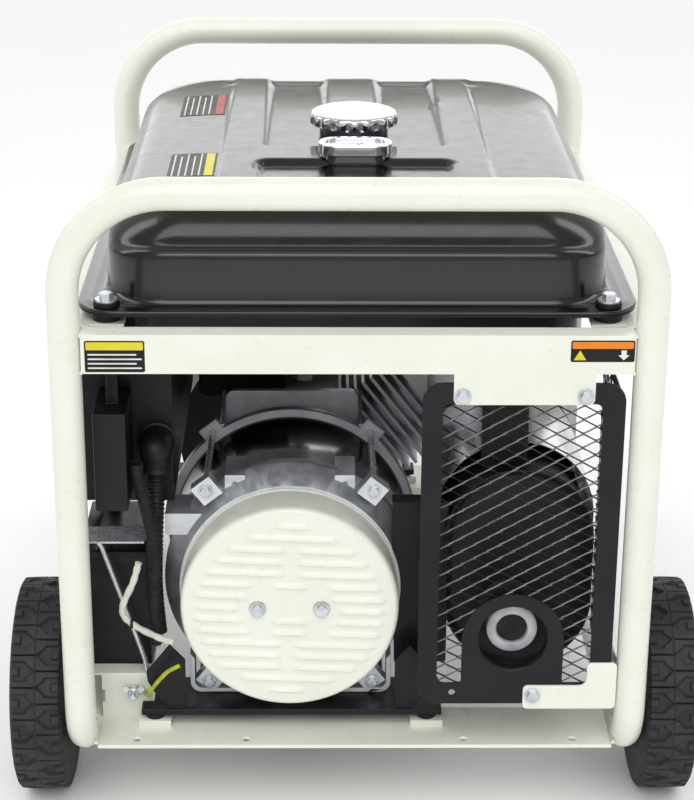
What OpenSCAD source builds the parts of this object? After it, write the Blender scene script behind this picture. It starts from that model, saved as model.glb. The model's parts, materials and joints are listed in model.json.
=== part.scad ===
// Open-frame portable generator: a tube frame on two wheels and two rubber feet that carries a
// steel fuel tank, a single-cylinder engine, a two-pole alternator, a caged muffler, a battery
// and a control panel.
//
// +Z is up, +Y runs from the alternator end (near) to the recoil starter end (far), and the
// origin is on the floor under the middle of the whole machine. Modules draw in "machine"
// coordinates, whose Y is 0 at the near hoop, and stand() moves them to the origin.

/* [Frame] */
// Width over the outside of both hoops
frame_w = 600; // [480:10:760]
// Height of the near hoop's top above the floor
frame_h = 710; // [660:2:900]
// How much higher the far hoop's top is than the near one's
far_rise = 6; // [0:1:20]
// Distance between the centre planes of the two hoops
hoop_gap = 742; // [742:2:960]
// Outside diameter of the frame tube
tube_d = 32; // [26:0.5:38]
// Bend radius of the hoops' top corners, to the tube's centre
top_bend = 100; // [60:5:140]
// Bend radius from a hoop's leg into the base tube, to the tube's centre
foot_bend = 55; // [40:5:70]
// Height of the base tubes' centres above the floor
base_z = 92; // [80:1:110]
// Height of the flat top of the tank rails
rail_top = 556; // [550:1:620]
// Depth of the tank rails and crossbars, top to bottom
rail_h = 40; // [30:1:50]
// Sheet thickness of rails, crossbars and base channels
sheet_t = 2.5; // [1.5:0.1:4]
// Depth of the base channels from front to back
channel_d = 78; // [70:1:90]
// Height of the base channels' top face above the base tubes' centres
channel_rise = 8; // [4:1:14]
// Height of the base channels' outer lips
channel_lip = 4; // [3:0.5:18]
// Radius of the bolt holes along the base channels
base_hole_r = 4.5; // [3:0.25:6]
// Distance between the bolt holes along a base channel
base_hole_gap = 114; // [80:2:120]

/* [Wheels and feet] */
// Outside diameter of the tyres
wheel_d = 228; // [200:2:250]
// Width of the tyres
wheel_w = 56; // [50:1:80]
// Diameter of the rim that the tyre sits on
rim_d = 128; // [100:2:150]
// Distance of the axle behind the near hoop
axle_y = 110; // [100:2:150]
// Diameter of the stub axles
axle_d = 16; // [12:0.5:20]
// Radial running clearance of the wheel hubs
hub_play = 0.08; // [0.02:0.01:0.1]
// Gap between the frame's side and the tyre
wheel_gap = 4; // [3:1:30]
// Height of the rubber feet
foot_h = 22; // [14:1:30]
// Diameter of the rubber feet
foot_d = 44; // [30:1:50]

/* [Fold-down handle] */
// Diameter of the handle tube
handle_d = 25; // [20:0.5:28]
// Height of the handle's pivots
handle_z = 430; // [380:5:480]
// Length of the handle's arms from pivot to grip
handle_l = 270; // [200:5:300]
// Gap between the hoop and the folded handle
handle_gap = 4; // [3:0.5:10]
// Diameter of the pivot pins
pivot_d = 10; // [8:0.5:12]

/* [Fuel tank] */
// Width of the tank body
tank_w = 500; // [440:5:506]
// Length of the tank body
tank_l = 625; // [560:5:640]
// Distance of the tank body behind the near hoop
tank_y = 40; // [36:1:60]
// Height of the tank's upper half above its flange
tank_h = 96; // [80:1:120]
// Depth of the tank's lower half below its flange
tank_pan_h = 58; // [40:1:60]
// Width of the seam flange around the tank
flange_w = 25; // [20:1:28]
// Wall thickness of the tank
tank_wall = 1.8; // [1.2:0.1:3]
// Depth of the pressed panels in the top
panel_depth = 8; // [4:1:14]
// Height of the rubber grommets under the flange
grommet_h = 8; // [6:0.5:14]
// Diameter of the fuel cap
cap_d = 97; // [80:1:110]
// Height of the fuel cap
cap_h = 14; // [10:1:24]
// Inside diameter of the filler neck
neck_d = 61; // [50:1:70]

/* [Alternator] */
// Distance of the crankshaft's axis to the left of the middle
crank_x = 68; // [50:1:80]
// Height of the crankshaft's axis
crank_z = 246; // [244:1:290]
// Diameter of the end cover
cover_d = 226; // [200:2:226]
// Depth of the end cover
cover_l = 53; // [40:1:53]
// How far the end bell's lip stands out from the stator can
bell_lip = 3; // [2:0.5:5]
// Outside diameter of the stator can
stator_d = 260; // [230:2:264]
// Outside diameter of the rotor
rotor_d = 136; // [110:2:150]
// Air gap between rotor and stator
air_gap = 2; // [0.8:0.1:4]
// Diameter of the crankshaft
shaft_d = 24; // [18:1:30]
// Radial running clearance of the crankshaft
shaft_play = 0.08; // [0.02:0.01:0.1]
// Distance of the through bolts outside the bell's lip
bolt_out = 8; // [8:1:12]

/* [Engine] */
// Width of the crankcase
case_w = 170; // [140:2:190]
// Length of the crankcase along the shaft
case_l = 190; // [160:2:200]
// Diameter of the flywheel
flywheel_d = 244; // [200:2:250]
// Outside diameter of the blower housing
blower_d = 280; // [270:2:290]
// Length of the cylinder, from the crankshaft's axis
cylinder_l = 215; // [190:5:220]
// Tilt of the cylinder above the horizontal, in degrees
cylinder_tilt = 38; // [34:1:42]

/* [Exhaust] */
// Width of the muffler
muffler_w = 154; // [140:2:156]
// Height of the muffler
muffler_h = 226; // [200:2:228]
// Length of the muffler
muffler_l = 235; // [180:5:238]
// Diameter of the hole in the guard around the outlet
outlet_hole_d = 73; // [64:1:80]
// Diameter of the outlet ring
outlet_d = 52; // [44:1:56]
// Width of the muffler guard
guard_w = 199; // [196:1:204]
// Height of the muffler guard
guard_h = 354; // [330:2:356]
// Depth of the guard's side
guard_l = 150; // [100:5:200]
// Width of one diamond of the guard's mesh
mesh_w = 26; // [20:1:40]
// Height of one diamond of the guard's mesh
mesh_h = 15; // [12:1:24]
// Width of a strand of the mesh
strand = 1.6; // [1.2:0.1:3]

/* [Control panel and battery] */
// Depth of the control panel's housing
panel_d = 108; // [80:1:110]
// Length of the control panel
panel_l = 360; // [320:5:368]
// Height of the control panel
panel_h = 172; // [160:1:180]
// Width of the battery
battery_w = 74; // [60:1:76]
// Length of the battery
battery_l = 134; // [110:1:136]
// Height of the battery
battery_h = 131; // [100:1:135]
// Travel of the start button
button_travel = 3; // [2:0.5:4]

/* [Hidden] */
$fn = 48;

cream = [0.90, 0.92, 0.85];
black = [0.07, 0.07, 0.08];
dark = [0.16, 0.16, 0.18];
alloy = [0.66, 0.67, 0.69];
zinc = [0.78, 0.79, 0.80];
chrome = [0.85, 0.86, 0.88];

// Frame
tube_r = tube_d / 2;
side_x = frame_w / 2 - tube_r;            // tube centres, left and right
inside_x = side_x - tube_r;               // clear half width between the hoops' legs
top_z = frame_h - tube_r;                 // centre of a hoop's top bar
handle_r = handle_d / 2;
handle_y = hoop_gap + tube_r + handle_gap + handle_r;
overall_l = handle_y + handle_r + tube_r;
near_y = tube_r - overall_l / 2;          // near hoop's plane in the part's own frame
channel_top = base_z + channel_rise;
base_hole_in = 12;                        // bolt holes behind a channel's outer edge
lip_y = -tube_r / 2;                      // front face of the near crossbar and its tab
rail_x = side_x + tube_r - 2;             // outer face of the tank rails
rail_in = inside_x - 6;

// Wheels and feet
wheel_r = wheel_d / 2;
tyre_x = frame_w / 2 + wheel_gap;         // inner face of a tyre
axle_r = axle_d / 2;
bracket_t = 4;
foot_y = hoop_gap - foot_bend - 26;       // clear of the bend into the far leg

// Tank
flange_t = 3;
flange_z = rail_top + grommet_h;          // underside of the seam flange
tank_base = flange_z + 2 * flange_t;      // where the tank's upper walls start
tank_top = tank_base + tank_h;
mount_x = tank_w / 2 - 4;                 // tank bolts
mount_near = tank_y;
mount_far = tank_y + tank_l + 8;
tank_bolt_r = 4;
grommet_r = 14;
grommet_neck = 9;
cap_y = 345;
gauge_y = 250;
neck_h = 12;

// Alternator and engine, along the shaft from the near end
cover_y = 20;
bell_y = cover_y + cover_l + 1;
stator_y = bell_y + 34;
adaptor_y = 232;
case_y = 290;
blower_y = case_y + case_l;
blower_l = 92;
recoil_y = blower_y + blower_l;
shaft_r = shaft_d / 2;
can_r = stator_d / 2;
bell_r = can_r + bell_lip;
bolt_circle_r = bell_r + bolt_out;
bolt_angles = [38, 142, 218, 322];        // through bolts, from straight up
cradle_top = 120;

// Exhaust
muffler_x = inside_x - 98;
muffler_r = muffler_w / 2;
muffler_top = 386;
muffler_y = 60;
outlet_x = muffler_x - 10;
outlet_z = 231;
guard_x1 = inside_x - 6;
guard_x0 = guard_x1 - guard_w;
tab_z = 484;
guard_z0 = tab_z + 22 - guard_h;
guard_t = 2;
guard_y = lip_y + sheet_t;                // front face of the guard
window_in = 20;                           // guard's solid margin
dome_r = 52;

// Control panel and battery
panel_x = -rail_x;                        // face of the control panel
panel_y = 110;
panel_z = flange_z - tank_pan_h - 4 - panel_h;
panel_wall = 2;
battery_x = -side_x - 6;
battery_y = 80;
tray_z = 152;

// ---------- Helpers ----------

module stand() translate([0, near_y, 0]) children();

module both_sides() {
  children();
  mirror([1, 0, 0]) children();
}

module box(x, y, z) translate([x[0], y[0], z[0]]) cube([x[1] - x[0], y[1] - y[0], z[1] - z[0]]);

module rod_x(x, y, z, r) translate([x[0], y, z]) rotate([0, 90, 0]) cylinder(r = r, h = x[1] - x[0]);

module rod_y(x, y, z, r) translate([x, y[1], z]) rotate([90, 0, 0]) cylinder(r = r, h = y[1] - y[0]);

module rod_z(x, y, z, r) translate([x, y, z[0]]) cylinder(r = r, h = z[1] - z[0]);

// Flat outline drawn in X and Z, made into a plate between two Y values
module plate_y(y) translate([0, y[1], 0]) rotate([90, 0, 0]) linear_extrude(y[1] - y[0]) children();

// Flat outline drawn in Y and Z, made into a plate between two X values
module plate_x(x) translate([x[0], 0, 0]) rotate([90, 0, 90]) linear_extrude(x[1] - x[0]) children();

module plate_z(z) translate([0, 0, z[0]]) linear_extrude(z[1] - z[0]) children();

module rounded(x, y, r) {
  translate([x[0] + r, y[0]]) square([x[1] - x[0] - 2 * r, y[1] - y[0]]);
  translate([x[0], y[0] + r]) square([x[1] - x[0], y[1] - y[0] - 2 * r]);
  for (i = [0, 1], j = [0, 1])
    translate([x[i] + (i == 0 ? r : -r), y[j] + (j == 0 ? r : -r)]) circle(r);
}

// Quarter turn of tube of centre radius bend; it starts at [bend, 0, 0] and turns towards +Y
module quarter(bend, r) rotate_extrude(angle = 90) translate([bend, 0]) circle(r);

// Everything on the crankshaft's axis: the children are drawn about Y through the origin
module on_shaft() translate([-crank_x, 0, crank_z]) children();

module disc(y, r) rod_y(0, y, 0, r);

module ring(y, r_out, r_in) {
  difference() {
    disc(y, r_out);
    disc([y[0] - 1, y[1] + 1], r_in);
  }
}

// Turned profile about the shaft: points are [radius, y]
module turned(points) rotate([-90, 0, 0]) rotate_extrude($fn = 96) polygon(points);

// Flanged hex bolt whose head's underside is at y, facing the near end
module bolt_y(x, y, z, r = 4, grip = 0) {
  rod_y(x, [y - 1.6, y], z, 2.1 * r);
  translate([x, y - 1.6, z]) rotate([90, 0, 0]) cylinder(r = 1.55 * r, h = 4.4, $fn = 6);
  if (grip > 0) rod_y(x, [y, y + grip], z, r);
}

function arc(c, r, a, n) = [for (i = [0:n]) c + r * [cos(a[0] + (a[1] - a[0]) * i / n),
                                                     sin(a[0] + (a[1] - a[0]) * i / n)]];
function unit(v) = v / norm(v);
function spline(a, b, c, d, t) =
  0.5 * (2 * b + (c - a) * t + (2 * a - 5 * b + 4 * c - d) * t * t + (3 * b - a - 3 * c + d) * t * t * t);
function smooth(p, n) = concat([for (i = [0:len(p) - 2], k = [0:n - 1])
  spline(p[max(i - 1, 0)], p[i], p[i + 1], p[min(i + 2, len(p) - 1)], k / n)], [p[len(p) - 1]]);

// Round cable along a path; the path never runs along X
module cable(path, r, sides = 10) {
  n = len(path);
  points = [for (i = [0:n - 1])
    let (t = unit(path[min(i + 1, n - 1)] - path[max(i - 1, 0)]),
         u = unit(cross(t, [1, 0, 0])), v = cross(t, u))
    for (k = [0:sides - 1]) path[i] + r * (cos(360 * k / sides) * u + sin(360 * k / sides) * v)];
  walls = [for (i = [0:n - 2], k = [0:sides - 1]) let (m = (k + 1) % sides)
    [i * sides + k, (i + 1) * sides + k, (i + 1) * sides + m, i * sides + m]];
  ends = [[for (k = [0:sides - 1]) k], [for (k = [sides - 1:-1:0]) (n - 1) * sides + k]];
  polyhedron(points, concat(walls, ends), convexity = 4);
}

// ---------- Frame ----------

// One hoop in the plane Y = 0, with its legs turned towards +Y into the base tubes
module hoop(rise) {
  top = top_z + rise;
  rod_x([-side_x + top_bend, side_x - top_bend], 0, top, tube_r);
  both_sides() {
    translate([side_x - top_bend, 0, top - top_bend]) rotate([90, 0, 0]) quarter(top_bend, tube_r);
    rod_z(side_x, 0, [base_z + foot_bend, top - top_bend], tube_r);
    translate([side_x, foot_bend, base_z + foot_bend])
      rotate([0, 90, 0]) rotate([0, 0, 180]) mirror([1, 0, 0]) quarter(foot_bend, tube_r);
  }
}

module near_hoop() color(cream) stand() hoop(0);

// Ears on the far hoop that carry the handle's pivot pins
module handle_ears() both_sides() {
  difference() {
    union() for (s = [-1, 1])
      translate([side_x + s * (handle_r + 2.5), 0, 0]) plate_x([-2, 2]) {
        translate([handle_y, handle_z]) circle(12);
        translate([hoop_gap + 8, handle_z - 12]) square([handle_y - hoop_gap - 8, 24]);
      }
    rod_z(side_x, hoop_gap, [handle_z - 40, handle_z + 40], tube_r - 1);
  }
  rod_x([side_x - handle_r - 4.5, side_x + handle_r + 4.5], handle_y, handle_z, pivot_d / 2);
}

module far_hoop() color(cream) stand() {
  translate([0, hoop_gap, 0]) mirror([0, 1, 0]) hoop(far_rise);
  handle_ears();
}

module base_tubes() color(cream) stand() both_sides()
  rod_y(side_x, [foot_bend, hoop_gap - foot_bend], base_z, tube_r);

// Tank rails, the far crossbar and the four corner plates that carry the tank
module tank_rails() color(cream) stand() difference() {
  union() {
    both_sides() {
      box([rail_in, rail_x], [tube_r, hoop_gap - tube_r], [rail_top - sheet_t, rail_top]);
      box([rail_x - sheet_t, rail_x], [tube_r, hoop_gap - tube_r], [rail_top - rail_h, rail_top]);
      box([rail_in + 8, rail_x], [tube_r, hoop_gap - tube_r],
        [rail_top - rail_h, rail_top - rail_h + sheet_t]);
      for (y = [mount_near, mount_far])
        box([mount_x - 18, rail_in + 2], [y - 18, y + 18], [rail_top - sheet_t, rail_top]);
    }
    box([-inside_x, inside_x], [hoop_gap - tube_r - 4, hoop_gap - lip_y], [rail_top - sheet_t, rail_top]);
    box([-inside_x, inside_x], [hoop_gap - lip_y - sheet_t, hoop_gap - lip_y], [rail_top - rail_h, rail_top]);
  }
  both_sides() for (y = [mount_near, mount_far])
    rod_z(mount_x, y, [rail_top - 10, rail_top + 10], tank_bolt_r + 0.2);
}

guard_bolt_x = [guard_x0 + 39, guard_x1 - 40];
guard_bolt_z = tab_z + 9;
bracket_bolt = [guard_x1 - 80, guard_z0 + 11];

// Near crossbar with the tab that the guard hangs from
module near_crossbar() color(cream) stand() difference() {
  union() {
    box([-inside_x, inside_x], [lip_y, lip_y + sheet_t], [rail_top - rail_h, rail_top]);
    box([-inside_x, inside_x], [lip_y, tube_r], [rail_top - sheet_t, rail_top]);
    plate_y([lip_y, lip_y + sheet_t])
      rounded([guard_x0 + 30, guard_x1 - 31], [tab_z, rail_top - rail_h + 8], 6);
  }
  for (x = guard_bolt_x) rod_y(x, [lip_y - 1, guard_y + 1], guard_bolt_z, 4.2);
}

// Inverted trough that ties the base tubes together; y is its outer edge, s its direction inwards
module channel(y, s) {
  difference() {
    union() {
      box([-inside_x, inside_x], [min(y, y + s * channel_d), max(y, y + s * channel_d)],
        [channel_top - sheet_t, channel_top]);
      for (edge = [[y, channel_lip], [y + s * (channel_d - sheet_t), 18]])
        box([-inside_x, inside_x],
          [min(edge[0], edge[0] + s * sheet_t), max(edge[0], edge[0] + s * sheet_t)],
          [channel_top - edge[1], channel_top]);
      for (x = cradle_feet)
        box([x - 17, x + 17],
          [min(y + s * pad_y[0], y + s * pad_y[1]), max(y + s * pad_y[0], y + s * pad_y[1])],
          [channel_top - 1, channel_top + pad_h]);
    }
    for (i = [-2, -1, 1, 2])
      rod_z(i * base_hole_gap, y + s * base_hole_in,
        [channel_top - 6, channel_top + 1], base_hole_r);
  }
}

// Near and far base channels, and the battery's shelf with its front plate
module base_channels() color(cream) stand() {
  channel(0, 1);
  channel(hoop_gap, -1);
  difference() {
    union() {
      box([-inside_x, apron_x], [apron_y, apron_y + sheet_t], [channel_top, tray_z]);
      box([battery_x, battery_x + battery_w + 2], [apron_y, battery_y + battery_l + 10],
        [tray_z - sheet_t, tray_z]);
      box([battery_x, battery_x + sheet_t], [apron_y, battery_y + battery_l + 10], [base_z + tube_r, tray_z]);
    }
    box([battery_x + 13, battery_x + 25], [apron_y - 4, apron_y + 6], [117, 132]);
    rod_y(ground_x, [apron_y - 4, apron_y + 6], ground_z, 4);
  }
}

apron_x = battery_x + 74;                 // right edge of the shelf's front plate
apron_y = battery_y - 20;                 // its near face
ground_x = apron_x - 18;
ground_z = 132;
pad_y = [36, 60];                         // raised pads under the cradle's feet
pad_h = 8;

// Plates welded to the base tubes with a stub axle, spacer, washer and nut on each
module wheel_axles() color(zinc) stand() both_sides() {
  tip = tyre_x + wheel_w;
  plate_x([frame_w / 2, frame_w / 2 + bracket_t])
    rounded([axle_y - 34, axle_y + 34], [base_z - tube_r - bracket_t, wheel_r + 20], 8);
  box([inside_x, frame_w / 2 + 1], [axle_y - 26, axle_y + 26],
    [base_z - tube_r - bracket_t, base_z - tube_r]);
  rod_x([frame_w / 2, tip - 1], axle_y, wheel_r, axle_r);
  rod_x([frame_w / 2 + bracket_t, tyre_x + 0.5], axle_y, wheel_r, axle_r + 5);
  rod_x([tip - 9.5, tip - 7], axle_y, wheel_r, axle_r + 6);
  translate([tip - 7, axle_y, wheel_r]) rotate([0, 90, 0]) cylinder(r = axle_r + 3.5, h = 6, $fn = 6);
}

// Pressed legs under the far ends of the base tubes
module rear_legs() color(cream) stand() both_sides() {
  w = foot_d + 4;
  difference() {
    box([side_x - w / 2, side_x + w / 2], [foot_y - w / 2, foot_y + w / 2], [foot_h, base_z - tube_r]);
    box([side_x - w / 2 + 3, side_x + w / 2 - 3], [foot_y - w, foot_y + w],
      [foot_h + 3, base_z - tube_r - 3]);
  }
}

module rubber_feet() color(black) stand() both_sides() translate([side_x, foot_y, 0])
  rotate_extrude()
    polygon([[0, 0], [foot_d / 2 - 3, 0], [foot_d / 2, 3], [foot_d / 2 - 2, foot_h], [0, foot_h]]);

// U-shaped handle, hanging down from the far hoop
module fold_handle() color(cream) stand() {
  bend = 40;
  low = handle_z - handle_l;
  both_sides() {
    difference() {
      union() {
        translate([side_x, handle_y, handle_z]) sphere(handle_r);
        rod_z(side_x, handle_y, [low + bend, handle_z], handle_r);
      }
      rod_x([side_x - 20, side_x + 20], handle_y, handle_z, pivot_d / 2 + hub_play);
    }
    translate([side_x - bend, handle_y, low + bend]) rotate([-90, 0, 0]) quarter(bend, handle_r);
  }
  rod_x([-side_x + bend, side_x - bend], handle_y, low, handle_r);
}

// ---------- Wheels: drawn about X, inner face at x = 0 ----------

module at_wheel() translate([tyre_x, axle_y, wheel_r]) rotate([0, 90, 0]) children();

module tyre() {
  r = wheel_r;
  rotate_extrude($fn = 96) polygon(concat([[rim_d / 2, 6], [rim_d / 2 + 16, 0], [r - 18, 0]],
    arc([r - 12, 12], 12, [-90, 0], 4), arc([r - 12, wheel_w - 12], 12, [0, 90], 4),
    [[r - 18, wheel_w], [rim_d / 2 + 16, wheel_w], [rim_d / 2, wheel_w - 6]]));
}

// Moulded rim: a rim band, a webbed disc with five windows and a hub
module rim() difference() {
  union() {
    difference() {
      translate([0, 0, 6]) cylinder(r = rim_d / 2, h = wheel_w - 12, $fn = 96);
      translate([0, 0, 5]) cylinder(r = rim_d / 2 - 5, h = wheel_w);
    }
    translate([0, 0, wheel_w / 2 - 3]) cylinder(r = rim_d / 2 - 4, h = 6);
    translate([0, 0, 1]) cylinder(r = axle_r + 10, h = wheel_w - 11);
    for (i = [0:4]) rotate([0, 0, i * 72])
      translate([0, -2, wheel_w / 2 - 14]) cube([rim_d / 2 - 4, 4, 28]);
  }
  translate([0, 0, -1]) cylinder(r = axle_r + hub_play, h = wheel_w + 2);
  for (i = [0:4]) rotate([0, 0, i * 72 + 36])
    translate([rim_d / 4 + 7, 0, 0]) cylinder(r = 9, h = wheel_w);
}

module left_tyre() color(black) stand() mirror([1, 0, 0]) at_wheel() tyre();
module left_rim() color(dark) stand() mirror([1, 0, 0]) at_wheel() rim();
module right_tyre() color(black) stand() at_wheel() tyre();
module right_rim() color(dark) stand() at_wheel() rim();

// ---------- Fuel tank ----------

// Outside of the upper half, or of its hollow when inset is the wall
module tank_form(inset) {
  w = tank_w / 2 - inset;
  top = tank_top - inset;
  y0 = tank_y + inset;
  y1 = tank_y + tank_l - inset;
  crown = arc([w - 40, top - 48], 40, [0, 90], 8);
  across = concat(crown, [[w - 110, top], [-w + 110, top]],
    [for (i = [len(crown) - 1:-1:0]) [-crown[i][0], crown[i][1]]]);
  intersection() {
    plate_y([y0, y1]) polygon(concat([[-w, tank_base - 1], [w, tank_base - 1]], across));
    plate_x([-w, w]) polygon(concat([[y1, tank_base - 1], [y0, tank_base - 1], [y0, top - 38]],
      arc([y0 + 78, top - 78], 78, [148, 92], 6), arc([y1 - 60, top - 60], 60, [90, 0], 8)));
    plate_z([tank_base - 1, top]) rounded([-w, w], [y0, y1], 60 - inset);
  }
}

module flange_outline() difference() {
  rounded([-tank_w / 2 - flange_w, tank_w / 2 + flange_w],
    [tank_y - flange_w + 5, tank_y + tank_l + flange_w + 3], 40);
  for (x = [-mount_x, mount_x], y = [mount_near, mount_far]) translate([x, y]) circle(grommet_neck);
}

// Pressed panels in the tank's top, grown by more: one round the filler that runs out over the far
// end on both sides of a middle tongue, and one in front of the gauge
module tank_panels(more) {
  plate_z([tank_top - panel_depth - more, tank_top + 1]) difference() {
    rounded([-102 - more, 102 + more], [gauge_y + 40 - more, tank_y + tank_l + 20], 14 + more);
    translate([-26 + more, cap_y + 62 + more]) square([52 - 2 * more, tank_l]);
  }
  plate_z([tank_top - panel_depth + 1 - more, tank_top + 1])
    rounded([-106 - more, 106 + more], [tank_y + 90 - more, gauge_y - 12 + more], 16 + more);
}

module tank_upper_shell() color(black) stand() difference() {
  union() {
    difference() {
      tank_form(0);
      tank_panels(0);
      difference() {
        tank_form(tank_wall);
        tank_panels(tank_wall);
      }
    }
    plate_z([flange_z + flange_t, tank_base]) flange_outline();
    rod_z(0, cap_y, [tank_top - panel_depth - 1, tank_top + neck_h], neck_d / 2 + 6);
    plate_z([tank_top - panel_depth, tank_top + 4]) rounded([-33, 33], [gauge_y - 18, gauge_y + 18], 17);
  }
  box([-tank_w / 2 + 14, tank_w / 2 - 14], [tank_y + 14, tank_y + tank_l - 14],
    [flange_z, tank_base + 1]);
  rod_z(0, cap_y, [tank_top - 40, tank_top + neck_h + 1], neck_d / 2);
}

// Shallow pan that closes the tank from below
module tank_lower_shell() color(black) stand() difference() {
  union() {
    plate_z([flange_z, flange_z + flange_t]) flange_outline();
    plate_z([flange_z - tank_pan_h, flange_z + 1])
      rounded([-tank_w / 2 + 26, tank_w / 2 - 26], [tank_y + 24, tank_y + tank_l - 24], 40);
  }
  plate_z([flange_z - tank_pan_h + tank_wall, flange_z + 4])
    rounded([-tank_w / 2 + 28, tank_w / 2 - 28], [tank_y + 26, tank_y + tank_l - 26], 38);
}

// Rubber grommets that hold the tank, and the blocks under the engine cradle
module rubber_mounts() color(black) stand() {
  for (x = [-mount_x, mount_x], y = [mount_near, mount_far]) difference() {
    union() {
      rod_z(x, y, [rail_top, flange_z], grommet_r);
      rod_z(x, y, [flange_z, tank_base], grommet_neck);
      rod_z(x, y, [tank_base, tank_base + 5], grommet_r - 1);
    }
    rod_z(x, y, [rail_top - 1, tank_base + 6], tank_bolt_r);
  }
  for (x = cradle_feet, y = [cradle_near, cradle_far]) rod_z(x, y, [channel_top + pad_h, cradle_bar], 10);
}

// Washer, head, shank and nut of the tank's bolts, and the guard's bolts
module frame_bolts() color(zinc) stand() {
  seat = tank_base + 5;
  for (x = [-mount_x, mount_x], y = [mount_near, mount_far]) {
    rod_z(x, y, [seat, seat + 2], 11);
    rod_z(x, y, [rail_top - sheet_t - 8, seat], tank_bolt_r);
    translate([x, y, seat + 2]) cylinder(r = 7, h = 6, $fn = 6);
    translate([x, y, rail_top - sheet_t - 7]) cylinder(r = 7, h = 7, $fn = 6);
  }
  for (x = guard_bolt_x) bolt_y(x, lip_y, guard_bolt_z, 4, sheet_t + guard_t);
  bolt_y(bracket_bolt[0], lip_y, bracket_bolt[1], 4, sheet_t + guard_t);
}

module gauge_bezel() color(chrome) stand() plate_z([tank_top + 4, tank_top + 15]) difference() {
  rounded([-39, 39], [gauge_y - 22, gauge_y + 22], 21);
  rounded([-31, 31], [gauge_y - 14, gauge_y + 14], 13);
}

module gauge_lens() color([0.8, 0.85, 0.9]) stand() plate_z([tank_top + 4, tank_top + 12])
  rounded([-31, 31], [gauge_y - 14, gauge_y + 14], 13);

// Chrome cap with finger flutes, and the plug that fits inside the neck
module fuel_cap() color(chrome) stand() translate([0, cap_y, tank_top + neck_h + 0.5]) {
  flutes = 18;
  difference() {
    cylinder(r = cap_d / 2, h = cap_h, $fn = 96);
    for (i = [0:flutes - 1]) rotate([0, 0, i * 360 / flutes])
      translate([cap_d / 2 + 10.6, 0, -1]) cylinder(r = 12, h = cap_h - 2, $fn = 48);
  }
  translate([0, 0, -8]) cylinder(r = neck_d / 2 - 0.5, h = 8);
}

// ---------- Alternator ----------

cover_screw_dx = 33;

module alternator_cover() color(cream) stand() on_shaft() {
  r = cover_d / 2;
  y = cover_y;
  difference() {
    turned(concat([[0, y]], [for (p = arc([r - 10, y + 10], 10, [-90, 0], 6)) p],
      [[r, y + cover_l], [r - 2, y + cover_l], [r - 2, y + 12], [r - 11, y + 2], [0, y + 2]]));
    for (s = [-1, 1]) rod_y(s * cover_screw_dx, [y - 1, y + 3], 0, 4);
    for (row = [1:7], s = [-1, 1]) {
      half = sqrt(pow(r - 16, 2) - pow(row * 12.5, 2));
      box([-half, half], [y - 1, y + 0.6], [s * row * 12.5 - 0.6, s * row * 12.5 + 0.6]);
    }
  }
}

// Cover screws and the four long bolts that clamp bell, stator and adaptor together
module alternator_bolts() color(zinc) stand() on_shaft() {
  for (s = [-1, 1]) {
    rod_y(s * cover_screw_dx, [cover_y - 1.5, bell_y + 6], 0, 3.5);
    rod_y(s * cover_screw_dx, [cover_y - 3, cover_y - 0.0], 0, 6);
  }
  for (a = bolt_angles)
    bolt_y(bolt_circle_r * sin(a), bell_y, bolt_circle_r * cos(a), 3.5, adaptor_y + 30 - bell_y);
}

// Square lug on the bell's rim, drawn by its corners
module lug(x, z, y) difference() {
  box(x, y, z);
  rod_y((x[0] + x[1]) / 2, [y[0] - 1, y[0] + 12], z[1] - 10, 3);
}

// Square ears for the through bolts, aligned with the radius; grow widens them for a clearance cut
module bolt_ears(y, grow = 0) {
  for (a = bolt_angles) rotate([0, a, 0])
    box([-12 - grow, 12 + grow], y, [bolt_circle_r - 13 - grow, bolt_circle_r + (cos(a) > 0 ? 10 : 8) + grow]);
}

// Bearing end casting: cone, lip, bolt ears, terminal lugs and a spider with the bearing seat
module end_bell() color(alloy) stand() on_shaft() {
  r = bell_r;
  difference() {
    union() {
      turned([[r - 21, bell_y], [r - 17, bell_y], [r - 1, bell_y + 22], [r, bell_y + 24], [r, stator_y],
        [r - 12, stator_y]]);
      bolt_ears([bell_y, bell_y + 16]);
      for (s = [-1, 1])
        lug([s * 57 - 10.5, s * 57 + 10.5], [r - 37, r - 11], [bell_y + 14, stator_y + 31]);
      box([3 - r, 41 - r], [bell_y + 8, stator_y + 24], [57, 81]);
    }
    for (a = bolt_angles)
      rod_y(bolt_circle_r * sin(a), [bell_y - 1, stator_y + 1], bolt_circle_r * cos(a), 3.7);
    disc([stator_y, stator_y + 40], can_r);
    turned([[0, bell_y - 1], [r - 22, bell_y - 1], [r - 10, bell_y + 24], [r - 10, stator_y + 1],
      [0, stator_y + 1]]);
  }
  difference() {
    union() {
      ring([bell_y + 2, bell_y + 20], 34, shaft_r + shaft_play);
      for (a = [0:45:315]) rotate([0, a, 0]) box([28, r - 17], [bell_y + 4, bell_y + 10], [-5, 5]);
    }
    for (s = [-1, 1]) rod_y(s * cover_screw_dx, [bell_y, bell_y + 6], 0, 3.5);
    disc([bell_y, bell_y + 22], shaft_r + shaft_play);
  }
}

// Laminated stack in a black can, with the winding ends as a ring at each side
module stator() color(black) stand() on_shaft() {
  inner = rotor_d / 2 + air_gap;
  ring([stator_y, adaptor_y], can_r, inner + 26);
  ring([stator_y + 12, adaptor_y - 12], inner + 26, inner);
}

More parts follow.
